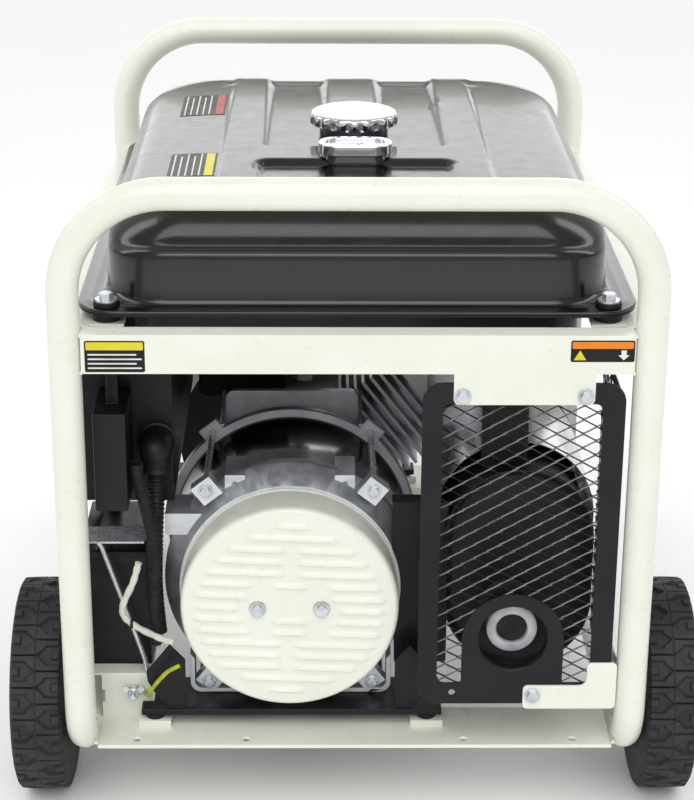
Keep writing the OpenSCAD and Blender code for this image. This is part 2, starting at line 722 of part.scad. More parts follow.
// Cone between alternator and crankcase, with arched windows and the rear bolt ears
module adaptor_housing() color(alloy) stand() on_shaft() difference() {
  union() {
    turned([[can_r - 1, adaptor_y], [can_r + 8, adaptor_y], [can_r + 9, adaptor_y + 2],
      [can_r + 9, adaptor_y + 8], [can_r + 4, adaptor_y + 12], [118, case_y], [106, case_y],
      [can_r - 2, adaptor_y + 16]]);
    bolt_ears([adaptor_y, adaptor_y + 9]);
    plate_y([case_y - 8, case_y]) difference() {
      rounded([-74, 74], [80, can_r + 11], 10);
      circle(112);
    }
    for (s = [-1, 1]) plate_x([s * 76 - 2, s * 76 + 2])
      polygon([[adaptor_y + 3, 100], [case_y - 1, 84], [case_y - 1, can_r + 9], [adaptor_y + 3, can_r - 10]]);
  }
  for (a = bolt_angles)
    rod_y(bolt_circle_r * sin(a), [adaptor_y - 1, adaptor_y + 31], bolt_circle_r * cos(a), 3.7);
  turned([[0, adaptor_y - 1], [can_r - 3, adaptor_y - 1], [can_r - 3, adaptor_y + 15], [105, case_y + 1],
    [0, case_y + 1]]);
  for (a = [0, 120, 180, 60]) rotate([0, a, 0]) box([60, 160], [adaptor_y + 20, case_y - 14], [-18, 18]);
}

// Shaft, rotor core and cooling fan
module rotor() color(dark) stand() on_shaft() {
  disc([bell_y - 6, blower_y + 20], shaft_r);
  disc([stator_y + 8, adaptor_y - 8], rotor_d / 2);
  disc([adaptor_y + 6, adaptor_y + 10], 92);
  for (a = [0:30:330]) rotate([0, a, 0]) box([50, 92], [adaptor_y + 9, adaptor_y + 28], [-1.5, 1.5]);
}

// U-shaped foot cast under the bell
module foot_bracket() color(alloy) stand() {
  w = bell_r - 26;
  difference() {
    plate_y([bell_y + 2, bell_y + 26]) translate([-crank_x, 0]) difference() {
      rounded([-w, w], [cradle_top, crank_z - 56], 12);
      rounded([-w + 5, w - 5], [cradle_top + 5, crank_z - 46], 8);
      translate([-w - 1, crank_z - 74]) square([2 * w + 2, 40]);
    }
    on_shaft() disc([bell_y - 1, bell_y + 60], bell_r + 0.01);
    on_shaft() bolt_ears([bell_y - 20, bell_y + 60], 0.01);
  }
}

// ---------- Engine ----------

module crankcase() color(alloy) stand() difference() {
  union() {
    plate_y([case_y, case_y + case_l]) translate([-crank_x, 0])
      rounded([-case_w / 2, case_w / 2], [cradle_top + 12, crank_z + 96], 28);
    box([-crank_x - case_w / 2 - 8, -crank_x + case_w / 2 + 8], [case_y + 20, case_y + case_l - 20],
      [cradle_top, cradle_top + 14]);
    on_shaft() disc([case_y + case_l - 1, blower_y + 6], 46);
  }
  on_shaft() disc([case_y - 20, blower_y + 20], shaft_r + shaft_play);
  rod_z(dipstick_x, dipstick_y, [cradle_top + 20, crank_z + 120], 9.5);
}

dipstick_x = -crank_x - 68;
dipstick_y = case_y + 40;

// Cylinder with cooling fins, head and valve cover, leaning to the right
module cylinder_head() color(alloy) stand() difference() {
  on_shaft() translate([0, case_y + 90, 0]) rotate([0, -cylinder_tilt, 0]) {
    rod_x([96, cylinder_l], 0, 0, 46);
    for (i = [0:6]) box([112 + i * 11, 116 + i * 11], [-62, 62], [-58, 58]);
    box([cylinder_l - 26, cylinder_l], [-66, 66], [-62, 62]);
    box([cylinder_l, cylinder_l + 22], [-50, 50], [-44, 44]);
  }
  plate_y([case_y - 1, case_y + case_l + 1]) translate([-crank_x, 0])
    rounded([-case_w / 2, case_w / 2], [cradle_top + 12, crank_z + 96], 28);
}

module blower_housing() color(black) stand() on_shaft() difference() {
  union() {
    ring([blower_y, blower_y + blower_l], blower_d / 2, blower_d / 2 - 3);
    ring([blower_y, blower_y + 3], blower_d / 2, 46);
  }
  rotate([0, -cylinder_tilt, 0]) box([90, 200], [blower_y - 1, blower_y + 4], [-50, 50]);
}

// Cast flywheel with cooling blades, on the end of the shaft
module flywheel() color(dark) stand() on_shaft() {
  difference() {
    disc([blower_y + 20, blower_y + 56], flywheel_d / 2);
    ring([blower_y + 19, blower_y + 40], flywheel_d / 2 - 14, 40);
  }
  for (a = [0:30:330]) rotate([0, a, 0])
    box([62, flywheel_d / 2 - 4], [blower_y + 55, blower_y + 78], [-2, 2]);
}

// Recoil starter: slotted cover plate, dome and rope guide
module recoil_starter() color(black) stand() on_shaft() difference() {
  union() {
    disc([recoil_y, recoil_y + 4], blower_d / 2);
    turned([[0, recoil_y + 4], [100, recoil_y + 4], [92, recoil_y + 34], [0, recoil_y + 34]]);
    rod_y(recoil_dx, [recoil_y + 33, recoil_y + 44], recoil_dz, 12);
  }
  for (a = [0:30:330]) rotate([0, a, 0]) box([107, 132], [recoil_y - 1, recoil_y + 5], [-4, 4]);
  turned([[0, recoil_y - 1], [94, recoil_y - 1], [88, recoil_y + 31], [0, recoil_y + 31]]);
  rod_y(recoil_dx, [recoil_y + 20, recoil_y + 45], recoil_dz, 4);
}

recoil_dx = 20;
recoil_dz = 62;

// T-shaped pull grip with the end of its rope in the guide
module recoil_grip() color(black) stand() on_shaft() {
  y = recoil_y + 44.5;
  rod_y(recoil_dx, [y, y + 14], recoil_dz, 9);
  rod_y(recoil_dx, [y - 12, y], recoil_dz, 2.5);
  translate([recoil_dx - 42, y + 22, recoil_dz]) rotate([0, 90, 0]) cylinder(r = 10, h = 84);
}

filter_x = [-176, -76];
filter_z = [352, 470];

// Air filter case with a snap-on lid
module air_filter() color(black) stand() {
  plate_y([case_y + 62, case_y + 160]) rounded(filter_x, [filter_z[0], filter_z[1]], 10);
  plate_y([case_y + 160, case_y + 186])
    rounded([filter_x[0] - 4, filter_x[1] + 4], [filter_z[0] - 2, filter_z[1] + 4], 12);
}

// Carburettor body between filter and cylinder head, with its float bowl
module carburettor() color(alloy) stand() difference() {
  union() {
    rod_x([filter_x[1], filter_x[1] + 46], carb_y, carb_z, 20);
    rod_z(filter_x[1] + 22, carb_y, [carb_z - 44, carb_z], 18);
    box([filter_x[1] + 8, filter_x[1] + 38], [carb_y - 22, carb_y + 22], [carb_z - 14, carb_z + 24]);
  }
  rod_z(filter_x[1] + 22, carb_y - 14, [carb_z + 8, carb_z + 25], 3 + shaft_play);
  rod_y(filter_x[1] + 22, [carb_y - 23, carb_y - 14], carb_z, 4 + shaft_play);
}

carb_y = case_y + 112;
carb_z = 404;

// Choke lever that turns on the carburettor's spindle
module choke_lever() color(zinc) stand() {
  x = filter_x[1] + 22;
  rod_z(x, carb_y - 14, [carb_z + 9, carb_z + 30], 3);
  box([x - 5, x + 5], [carb_y - 50, carb_y - 8], [carb_z + 26, carb_z + 29]);
  rod_z(x, carb_y - 50, [carb_z + 26, carb_z + 38], 6);
}

// Fuel tap lever on the front of the carburettor
module fuel_valve() color([0.75, 0.1, 0.08]) stand() {
  x = filter_x[1] + 22;
  rod_y(x, [carb_y - 30, carb_y - 15], carb_z, 4);
  box([x - 4, x + 4], [carb_y - 35, carb_y - 30], [carb_z - 30, carb_z + 6]);
}

// Oil filler cap with its dipstick
module oil_dipstick() color([0.85, 0.75, 0.1]) stand() {
  z = crank_z + 96;
  rod_z(dipstick_x, dipstick_y, [z + 0.5, z + 4], 14);
  rod_z(dipstick_x, dipstick_y, [cradle_top + 60, z + 0.5], 9);
  box([dipstick_x - 12, dipstick_x + 12], [dipstick_y - 2.5, dipstick_y + 2.5], [z + 4, z + 14]);
}

// ---------- Exhaust ----------

// Oval outline of the muffler, grown by more
module oval(more) {
  r = muffler_r + more;
  low = muffler_top - muffler_h + muffler_r;
  translate([muffler_x, muffler_top - muffler_r]) circle(r);
  translate([muffler_x, low]) circle(r);
  translate([muffler_x - r, low]) square([2 * r, muffler_h - 2 * muffler_r]);
}

// Pressed muffler with seam lips, hanger strap, outlet stub and the pipe from the head
module muffler() color(black) stand() {
  y1 = muffler_y + muffler_l;
  difference() {
    union() {
      plate_y([muffler_y + 3, y1 - 3]) oval(-4);
      plate_y([muffler_y, muffler_y + 6]) oval(0);
      plate_y([y1 - 6, y1]) oval(0);
      rod_y(outlet_x, [guard_y + 20, muffler_y + 4], outlet_z, outlet_d / 2 - 6);
      plate_y([muffler_y + 34, muffler_y + 37])
        rounded([muffler_x - 40, muffler_x + 8], [muffler_top - 14, tab_z + 12], 6);
    }
    plate_y([muffler_y - 1, muffler_y + 3]) difference() {
      oval(-10);
      translate([outlet_x, outlet_z]) circle(outlet_d / 2 + 6);
    }
    plate_y([muffler_y + 5, y1 - 3]) oval(-6);
    rod_y(outlet_x, [guard_y + 10, muffler_y + 8], outlet_z, outlet_d / 2 - 8);
  }
}

// Outlet ring with the screen that stops sparks
module spark_arrestor() color(zinc) stand() {
  y = [guard_y + 14, guard_y + 20];
  difference() {
    rod_y(outlet_x, y, outlet_z, outlet_d / 2);
    rod_y(outlet_x, [y[0] - 1, y[1] - 1.5], outlet_z, outlet_d / 2 - 9.5);
  }
}

window_x = [guard_x0 + window_in, guard_x1 - window_in - 2];
window_z = [guard_z0 + 24, tab_z];

// Outline of the mesh window in the guard's front
module window_outline() difference() {
  rounded(window_x, window_z, 8);
  translate([outlet_x, guard_z0 + 73]) circle(dome_r);
  translate([outlet_x - dome_r, guard_z0]) square([2 * dome_r, 73]);
}

side_window_y = [guard_y + window_in, guard_y + guard_l - window_in];

module side_window_outline() rounded(side_window_y, [window_z[0], window_z[1] - 8], 8);

// Sheet guard: front panel, its right-hand side and short turned edges
module muffler_guard() color(black) stand() {
  z1 = guard_z0 + guard_h;
  difference() {
    plate_y([guard_y, guard_y + guard_t]) rounded([guard_x0, guard_x1], [guard_z0, z1], 20);
    plate_y([guard_y - 1, guard_y + guard_t + 1]) window_outline();
    rod_y(outlet_x, [guard_y - 1, guard_y + 3], outlet_z - 4, outlet_hole_d / 2);
    for (x = guard_bolt_x) rod_y(x, [guard_y - 1, guard_y + 3], guard_bolt_z, 4.2);
    rod_y(bracket_bolt[0], [guard_y - 1, guard_y + 3], bracket_bolt[1], 4.2);
    rod_y(guard_x0 + 36, [guard_y - 1, guard_y + 3], guard_z0 + 13, 3.5);
  }
  difference() {
    box([guard_x1 - guard_t, guard_x1], [guard_y + guard_t, guard_y + guard_l], [guard_z0 + 20, z1 - 20]);
    plate_x([guard_x1 - guard_t - 1, guard_x1 + 1]) side_window_outline();
  }
  translate([0, guard_y + guard_t, 0]) difference() {
    rod_y(outlet_x, [0, 9], outlet_z - 4, outlet_hole_d / 2 + 1.5);
    rod_y(outlet_x, [-1, 10], outlet_z - 4, outlet_hole_d / 2);
  }
}

// Parallel strands over a window u wide and v tall, leaning by the diamond's slope
module strands(u, v, lean) {
  slope = atan(mesh_h / mesh_w);
  reach = (u[1] - u[0]) * mesh_h / mesh_w;
  count = ceil((v[1] - v[0] + reach) / mesh_h);
  for (i = [0:count])
    translate([lean > 0 ? u[0] - 2 : u[1] + 2, v[0] - reach + (i + 0.3) * mesh_h])
      rotate(lean > 0 ? slope : 180 - slope) translate([0, -strand / 2])
        square([(u[1] - u[0] + 4) / cos(slope), strand]);
}

// Expanded-metal mesh behind the front window and inside the side window
module guard_mesh() color(black) stand() {
  y = guard_y + guard_t;
  x = guard_x1 - guard_t;
  for (lean = [1, -1]) {
    front = lean > 0 ? [y, y + 1] : [y + 1, y + 2];
    side = lean > 0 ? [x - 1, x] : [x - 2, x - 1];
    plate_y(front) intersection() {
      strands(window_x, window_z, lean);
      window_outline();
    }
    plate_x(side) intersection() {
      strands(side_window_y, window_z, lean);
      side_window_outline();
    }
  }
}

// L-shaped bracket from the right leg to the guard's lower corner
module guard_bracket() color(cream) stand() difference() {
  plate_y([lip_y, lip_y + sheet_t]) difference() {
    union() {
      rounded([guard_x1 - 90, inside_x], [guard_z0 - 5, guard_z0 + 22], 5);
      rounded([guard_x1 - 25, inside_x], [guard_z0 - 5, guard_z0 + 48], 5);
      translate([guard_x1 - 33, guard_z0 + 20]) square([10, 10]);
    }
    translate([guard_x1 - 33, guard_z0 + 30]) circle(8);
  }
  rod_y(bracket_bolt[0], [lip_y - 1, guard_y + 1], bracket_bolt[1], 4.2);
}

// Bright sheet that arches over the muffler, and the plate between muffler and engine
module heat_shield() color(chrome) stand() {
  y1 = muffler_y + muffler_l;
  plate_y([muffler_y + 60, y1 - 8]) intersection() {
    difference() {
      oval(7);
      oval(5.5);
    }
    translate([muffler_x - 100, muffler_top - muffler_h + 70]) square([200, 300]);
  }
  plate_y([y1, y1 + 1.5]) rounded([muffler_x - 86, muffler_x + 84], [muffler_top - 120, tab_z + 14], 14);
}

// Black plate beside the alternator that carries the muffler
module muffler_stay() color(black) stand() difference() {
  y = bell_y - 4;
  union() {
    plate_y([y, y + 3]) polygon([[42, 160], [muffler_x - muffler_r + 4, 160],
      [muffler_x - muffler_r + 4, 345], [38, 345], [38, 300]]);
    box([38, muffler_x - muffler_r - 10], [y, y + 22], [342, 345]);
  }
  plate_y([y - 1, y + 30]) oval(-4);
  on_shaft() disc([y - 1, y + 4], cover_d / 2 + 3);
}

// ---------- Control panel, battery and wiring ----------

module panel_cut(y, z, r) rod_x([panel_x - 1, panel_x + panel_wall + 1], y, z, r);

outlet_places = [[150, 50], [206, 50], [262, 50], [318, 50]];
big_outlet = [88, 108];
button_place = [330, 122];
switch_place = [40, 122];
breaker_place = [180, 122];

// Box whose outer face carries the outlets and switches, with the outlet cover's hinge pin
module control_panel() color(black) stand() {
  panel_box();
  at_big_outlet() {
    for (s = [-1, 1]) box([panel_x - 8, panel_x], [s * 22.5 - 2, s * 22.5 + 2], [31, 39]);
    rod_y(panel_x - 5, [-22, 22], 35, 1.5);
  }
}

module panel_box() difference() {
  y = [panel_y, panel_y + panel_l];
  z = [panel_z, panel_z + panel_h];
  box([panel_x, panel_x + panel_d], y, z);
  box([panel_x + panel_wall, panel_x + panel_d - panel_wall], [y[0] + panel_wall, y[1] - panel_wall],
    [z[0] + panel_wall, z[1] - panel_wall]);
  for (p = concat(outlet_places, [big_outlet]))
    panel_cut(y[0] + p[0], z[0] + p[1], p == big_outlet ? 26 : 19);
  panel_cut(y[0] + button_place[0], z[0] + button_place[1], 9);
  for (p = [switch_place, breaker_place])
    box([panel_x - 1, panel_x + panel_wall + 1], [y[0] + p[0] - 13, y[0] + p[0] + 13],
      [z[0] + p[1] - 9, z[0] + p[1] + 9]);
  rod_y(elbow[0], [y[0] - 1, y[0] + panel_wall + 1], elbow[2], 11);
}

// Outlets that stand through the panel
module receptacles() color(dark) stand() translate([0, panel_y, panel_z])
  for (p = concat(outlet_places, [big_outlet])) {
    r = p == big_outlet ? 26 : 19;
    difference() {
      union() {
        rod_x([panel_x, panel_x + 40], p[0], p[1], r);
        rod_x([panel_x - 3, panel_x], p[0], p[1], r + 3);
      }
      for (a = [0, 120, 240]) translate([0, p[0] + 9 * sin(a), p[1] + 9 * cos(a)])
        rod_x([panel_x - 4, panel_x + 10], 0, 0, 2);
    }
  }

// Sprung flap over the largest outlet, hinged along its top edge
module outlet_cover() color(dark) stand() at_big_outlet() difference() {
  union() {
    plate_x([panel_x - 6, panel_x - 3.5]) {
      rounded([-30, 30], [-31, 27], 8);
      translate([-20, 20]) square([40, 14]);
    }
    rod_y(panel_x - 5, [-20, 20], 35, 3);
  }
  rod_y(panel_x - 5, [-21, 21], 35, 1.5 + hub_play);
}

module at_big_outlet() translate([0, panel_y + big_outlet[0], panel_z + big_outlet[1]]) children();

// Rocker switch for run and stop, tipped about its middle
module engine_switch() color([0.75, 0.1, 0.08]) stand()
  translate([0, panel_y + switch_place[0], panel_z + switch_place[1]])
    box([panel_x - 3, panel_x + 6], [-12, 12], [-7, 7]);

module start_button() color([0.1, 0.5, 0.2]) stand()
  translate([0, panel_y + button_place[0], panel_z + button_place[1]])
    rod_x([panel_x - button_travel - 3, panel_x + 8], 0, 0, 8.5);

// Toggle of the main circuit breaker
module main_breaker() color(dark) stand()
  translate([0, panel_y + breaker_place[0], panel_z + breaker_place[1]])
    box([panel_x - 9, panel_x + 4], [-11, 11], [-4, 4]);

module battery() color(black) stand() {
  box([battery_x, battery_x + battery_w], [battery_y, battery_y + battery_l],
    [tray_z, tray_z + battery_h - 8]);
  box([battery_x + 2, battery_x + battery_w - 2], [battery_y + 2, battery_y + battery_l - 2],
    [tray_z + battery_h - 9, tray_z + battery_h]);
  for (y = [battery_y + 14, battery_y + battery_l - 14])
    box([battery_x + 20, battery_x + 34], [y - 6, y + 6], [tray_z + battery_h, tray_z + battery_h + 9]);
}

// Slanted hook rod in front of the battery, with its clamp strip across the top
module battery_rod() color(zinc) stand() {
  clamp_z = tray_z + battery_h + 23;
  cable([[battery_x + 25, 58, clamp_z], [battery_x + 28, 58, clamp_z - 6],
    [battery_x + 68, 63, tray_z + 16], [battery_x + 70, 63, tray_z + 1]], 2.6);
  box([battery_x + 4, battery_x + battery_w - 2], [54, battery_y + 12], [clamp_z, clamp_z + 2]);
}

// Voltage regulator, potted in a finned block on the panel's near wall
module avr_box() color(black) stand() {
  x = panel_x + 34;
  box([x, x + 33], [32, panel_y], [352, 458]);
  box([x + 12, x + 24], [60, 66], [458, 505]);
}

// Cables are drawn from the loom's middle
loom_x = battery_x + 84;
elbow = [loom_x, 84, 398];
conduit_path = [[loom_x, 84, 380], [loom_x, 76, 350], [loom_x - 2, 66, 300], [loom_x - 3, 62, 250],
  [loom_x, 62, 200]];
sleeve_path = [[loom_x - 16, 40, 402], [loom_x - 15, 42, 385], [loom_x - 6, 46, 340],
  [loom_x, 46, 300], [loom_x - 2, 44, 250], [loom_x - 2, 44, 196]];
white_path = [[loom_x - 16, 30, 296], [loom_x - 22, 28, 275], [loom_x - 34, 28, 245],
  [loom_x - 26, 28, 228], [loom_x + 2, 30, 210], [loom_x + 16, 32, 204]];
earth_path = [[loom_x + 23, 28, 178], [loom_x + 10, 29, 170], [loom_x - 3, 33, 153],
  [loom_x - 10, 40, 140], [loom_x - 12, 50, 131], [ground_x + 14, 55.5, ground_z - 2.5],
  [ground_x + 7.2, 56, ground_z - 1.5]];

// Elbow out of the panel with its ribbed hose, and the braided sleeve in front of it
module conduits() color(black) stand() {
  rod_y(elbow[0], [elbow[1], panel_y], elbow[2], 17);
  translate(elbow) sphere(17);
  rod_z(elbow[0], elbow[1], [elbow[2] - 22, elbow[2]], 15);
  cable(smooth(conduit_path, 4), 9);
  cable(smooth(sleeve_path, 4), 7);
}

module white_lead() color([0.92, 0.92, 0.9]) stand() cable(smooth(white_path, 4), 3.6, 8);

module earth_wire() color([0.75, 0.8, 0.1]) stand() cable(smooth(earth_path, 4), 2.2, 8);

// Ground terminal: stud, nut and wing nut on the battery shelf's front plate
module ground_stud() color(zinc) stand() {
  y = apron_y - 20;
  rod_y(ground_x, [y, apron_y + 8], ground_z, 3.5);
  translate([ground_x, apron_y, ground_z]) rotate([90, 0, 0]) cylinder(r = 7, h = 3, $fn = 6);
  difference() {
    union() {
      rod_y(ground_x, [y + 15, y + 17], ground_z, 6.5);
      box([ground_x, ground_x + 8], [y + 15, y + 17], [ground_z - 4, ground_z + 1]);
    }
    box([ground_x + 7, ground_x + 9], [y + 14, y + 18], [ground_z - 5, ground_z + 2]);
  }
  rod_y(ground_x, [y + 9, y + 15], ground_z, 6);
  box([ground_x - 12, ground_x + 12], [y + 10, y + 12.5], [ground_z + 1, ground_z + 9]);
}

cradle_feet = [apron_x + 5, 76];
cradle_near = 48;                         // rubber blocks, on the pads of the base channels
cradle_far = hoop_gap - 48;
cradle_bar = cradle_top - 7;              // underside of the cradle's end plates
runner_x = 86;                            // runners either side of the crankshaft's axis

// Black cradle on the rubber blocks: two bars, two runners and the angled near plates
module engine_cradle() color(black) stand() {
  difference() {
    union() {
      box([apron_x + 3, cradle_feet[1] + 16], [cradle_near - 9, bell_y + 36], [cradle_bar, cradle_top]);
      box([cradle_feet[0] - 14, apron_x + 4], [cradle_near - 9, apron_y - 2], [cradle_bar, cradle_top]);
    }
    on_shaft() disc([bell_y - 2, bell_y + 60], bell_r + 2);
  }
  box([cradle_feet[0] - 14, cradle_feet[1] + 14], [cradle_far - 15, cradle_far + 12], [cradle_bar, cradle_top]);
  for (s = [-1, 1]) translate([-crank_x + s * runner_x, 0, 0])
    box([-14, 14], [bell_y + 34, cradle_far - 10], [cradle_top - 14, cradle_top]);
  for (s = [-1, 1]) translate([-crank_x, 0]) plate_y([cradle_near - 5, cradle_near - 1])
    polygon([[s * 110, cradle_top - 1], [s * 128, cradle_top - 1], [s * 142, 136], [s * 150, 151],
      [s * 151, 162], [s * 126, 194], [s * 110, 176]]);
}

near_hoop();
far_hoop();
base_tubes();
tank_rails();
near_crossbar();
base_channels();
wheel_axles();
rear_legs();
rubber_feet();
fold_handle();
left_tyre();
left_rim();
right_tyre();
right_rim();
tank_upper_shell();
tank_lower_shell();
frame_bolts();
rubber_mounts();
gauge_bezel();
gauge_lens();
fuel_cap();
alternator_cover();
alternator_bolts();
end_bell();
stator();
adaptor_housing();
rotor();
foot_bracket();
crankcase();
cylinder_head();
blower_housing();
flywheel();
recoil_starter();
recoil_grip();
air_filter();
carburettor();
choke_lever();
fuel_valve();
oil_dipstick();
muffler();
spark_arrestor();
muffler_guard();
guard_mesh();
guard_bracket();
heat_shield();
muffler_stay();
control_panel();
receptacles();
outlet_cover();
engine_switch();
start_button();
main_breaker();
battery();
battery_rod();
avr_box();
conduits();
white_lead();
earth_wire();
ground_stud();
engine_cradle();
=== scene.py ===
"""Looks for the portable generator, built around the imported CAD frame."""
import json
import math
import random
from collections import namedtuple

import bmesh
import bpy
from mathutils import Matrix, Vector


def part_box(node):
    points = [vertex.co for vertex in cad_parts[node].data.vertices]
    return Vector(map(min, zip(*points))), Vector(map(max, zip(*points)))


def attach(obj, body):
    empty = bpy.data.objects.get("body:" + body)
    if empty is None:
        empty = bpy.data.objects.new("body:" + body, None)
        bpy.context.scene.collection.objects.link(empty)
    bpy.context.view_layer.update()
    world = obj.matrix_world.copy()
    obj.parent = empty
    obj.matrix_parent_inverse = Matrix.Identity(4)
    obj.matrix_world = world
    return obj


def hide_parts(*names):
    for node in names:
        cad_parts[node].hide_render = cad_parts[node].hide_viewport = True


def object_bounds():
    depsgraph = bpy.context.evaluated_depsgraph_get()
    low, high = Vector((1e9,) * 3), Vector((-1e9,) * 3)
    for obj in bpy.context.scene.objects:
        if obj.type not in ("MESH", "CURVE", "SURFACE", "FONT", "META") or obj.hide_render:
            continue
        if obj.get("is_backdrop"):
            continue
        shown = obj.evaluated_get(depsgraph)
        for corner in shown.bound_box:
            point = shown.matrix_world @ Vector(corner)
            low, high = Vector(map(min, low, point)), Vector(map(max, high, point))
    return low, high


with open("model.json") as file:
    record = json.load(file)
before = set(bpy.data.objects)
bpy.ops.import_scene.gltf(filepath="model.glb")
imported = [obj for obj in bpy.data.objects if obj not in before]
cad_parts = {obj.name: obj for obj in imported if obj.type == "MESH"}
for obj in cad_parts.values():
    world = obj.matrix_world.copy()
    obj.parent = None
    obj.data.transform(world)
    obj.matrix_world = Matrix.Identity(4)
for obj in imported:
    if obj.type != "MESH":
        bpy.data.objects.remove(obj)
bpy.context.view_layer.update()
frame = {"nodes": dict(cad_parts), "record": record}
random.seed(7)

# Shapes are drawn in millimetres, in the machine's coordinates: X and Z as in the row frame, and
# Y from the middle of the near hoop's tube towards the recoil starter.
MM = 0.001
_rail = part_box("base_tubes")
TUBE_R = (_rail[1].z - _rail[0].z) / 2 / MM
BASE_Z = (_rail[1].z + _rail[0].z) / 2 / MM
SIDE_X = _rail[1].x / MM - TUBE_R
NEAR_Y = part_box("near_hoop")[0].y / MM + TUBE_R

Box = namedtuple("Box", "x0 x1 y0 y1 z0 z1 cx cy cz")


def box_of(node):
    low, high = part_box(node)
    x, y, z = ((low[i] / MM, high[i] / MM) for i in range(3))
    y = (y[0] - NEAR_Y, y[1] - NEAR_Y)
    return Box(*x, *y, *z, sum(x) / 2, sum(y) / 2, sum(z) / 2)


SLOT = {s["node"]: s["material_slot"] for s in frame["record"]["subparts"]}
BODY = {n: b for b, ns in frame["record"]["behaviour"]["bodies"].items() for n in ns}


# ---------- Materials ----------

def srgb(r, g, b):
    return tuple((c / 255 / 12.92 if c <= 10 else ((c / 255 + 0.055) / 1.055) ** 2.4) for c in (r, g, b))


class Nodes:
    """Small wrapper that adds and links shader nodes."""

    def __init__(self, name):
        self.mat = bpy.data.materials.new(name)
        self.mat.use_nodes = True
        self.tree = self.mat.node_tree
        self.tree.nodes.clear()
        self.shader = self.add("ShaderNodeBsdfPrincipled")
        out = self.add("ShaderNodeOutputMaterial")
        self.link(self.shader.outputs[0], out.inputs[0])
        self.coord = self.add("ShaderNodeTexCoord").outputs["Object"]

    def add(self, kind, **values):
        node = self.tree.nodes.new(kind)
        for key, value in values.items():
            if isinstance(key, str) and hasattr(node, key) and key not in node.inputs:
                setattr(node, key, value)
            else:
                node.inputs[key].default_value = value
        return node

    def link(self, a, b):
        self.tree.links.new(a, b)

    def stretched(self, scale):
        m = self.add("ShaderNodeMapping")
        m.inputs["Scale"].default_value = scale
        self.link(self.coord, m.inputs["Vector"])
        return m.outputs[0]

    def noise(self, scale, detail=3.0, rough=0.5, vector=None):
        n = self.add("ShaderNodeTexNoise")
        n.inputs["Scale"].default_value = scale
        n.inputs["Detail"].default_value = detail
        n.inputs["Roughness"].default_value = rough
        self.link(vector or self.coord, n.inputs["Vector"])
        return n.outputs["Fac"]

    def ramp(self, value, stops):
        r = self.add("ShaderNodeValToRGB")
        for i, (at, colour) in enumerate(stops):
            e = r.color_ramp.elements[i] if i < 2 else r.color_ramp.elements.new(at)
            e.position = at
            e.color = (*colour, 1) if len(colour) == 3 else colour
        self.link(value, r.inputs[0])
        return r.outputs[0]

    def spread(self, value, low, high, out_low, out_high):
        m = self.add("ShaderNodeMapRange")
        for i, v in enumerate((low, high, out_low, out_high), 1):
            m.inputs[i].default_value = v
        self.link(value, m.inputs[0])
        return m.outputs[0]

    def bump(self, height, strength, distance, after=None):
        b = self.add("ShaderNodeBump")
        b.inputs["Strength"].default_value = strength
        b.inputs["Distance"].default_value = distance
        self.link(height, b.inputs["Height"])
        if after:
            self.link(after, b.inputs["Normal"])
        return b.outputs[0]


def surface(name, dark, light, rough=(0.3, 0.45), metal=0.0, coat=0.0, grain=(900, 0.15, 0.0002),
            blotch=14, dust=None, stretch=None, spec=0.5, ripple=None):
    """Procedural finish: colour drifts from dark to light, roughness varies, and a fine grain bumps it."""
    n = Nodes(name)
    s = n.shader
    s.inputs["Metallic"].default_value = metal
    s.inputs["Specular IOR Level"].default_value = spec
    if coat:
        s.inputs["Coat Weight"].default_value = coat
        s.inputs["Coat Roughness"].default_value = 0.06
    wide = n.noise(blotch, 4.0, 0.55)
    colour = n.ramp(wide, [(0.3, dark), (0.72, light)])
    if dust:
        speck = n.ramp(n.noise(dust[1], 6.0, 0.7), [(dust[2], (0, 0, 0)), (min(dust[2] + 0.12, 1), (1, 1, 1))])
        mix = n.add("ShaderNodeMix", data_type="RGBA")
        n.link(speck, mix.inputs[0])
        n.link(colour, mix.inputs[6])
        mix.inputs[7].default_value = (*dust[0], 1)
        colour = mix.outputs[2]
    n.link(colour, s.inputs["Base Color"])
    vector = n.stretched(stretch) if stretch else None
    fine = n.noise(grain[0], 3.0, 0.6, vector)
    n.link(n.spread(n.noise(blotch * 4, 4.0, 0.6, vector), 0.3, 0.7, *rough), s.inputs["Roughness"])
    normal = n.bump(fine, grain[1], grain[2])
    if ripple:
        normal = n.bump(n.noise(ripple[0], 2.0, 0.4), ripple[1], ripple[2], normal)
    n.link(normal, s.inputs["Normal"])
    return n.mat


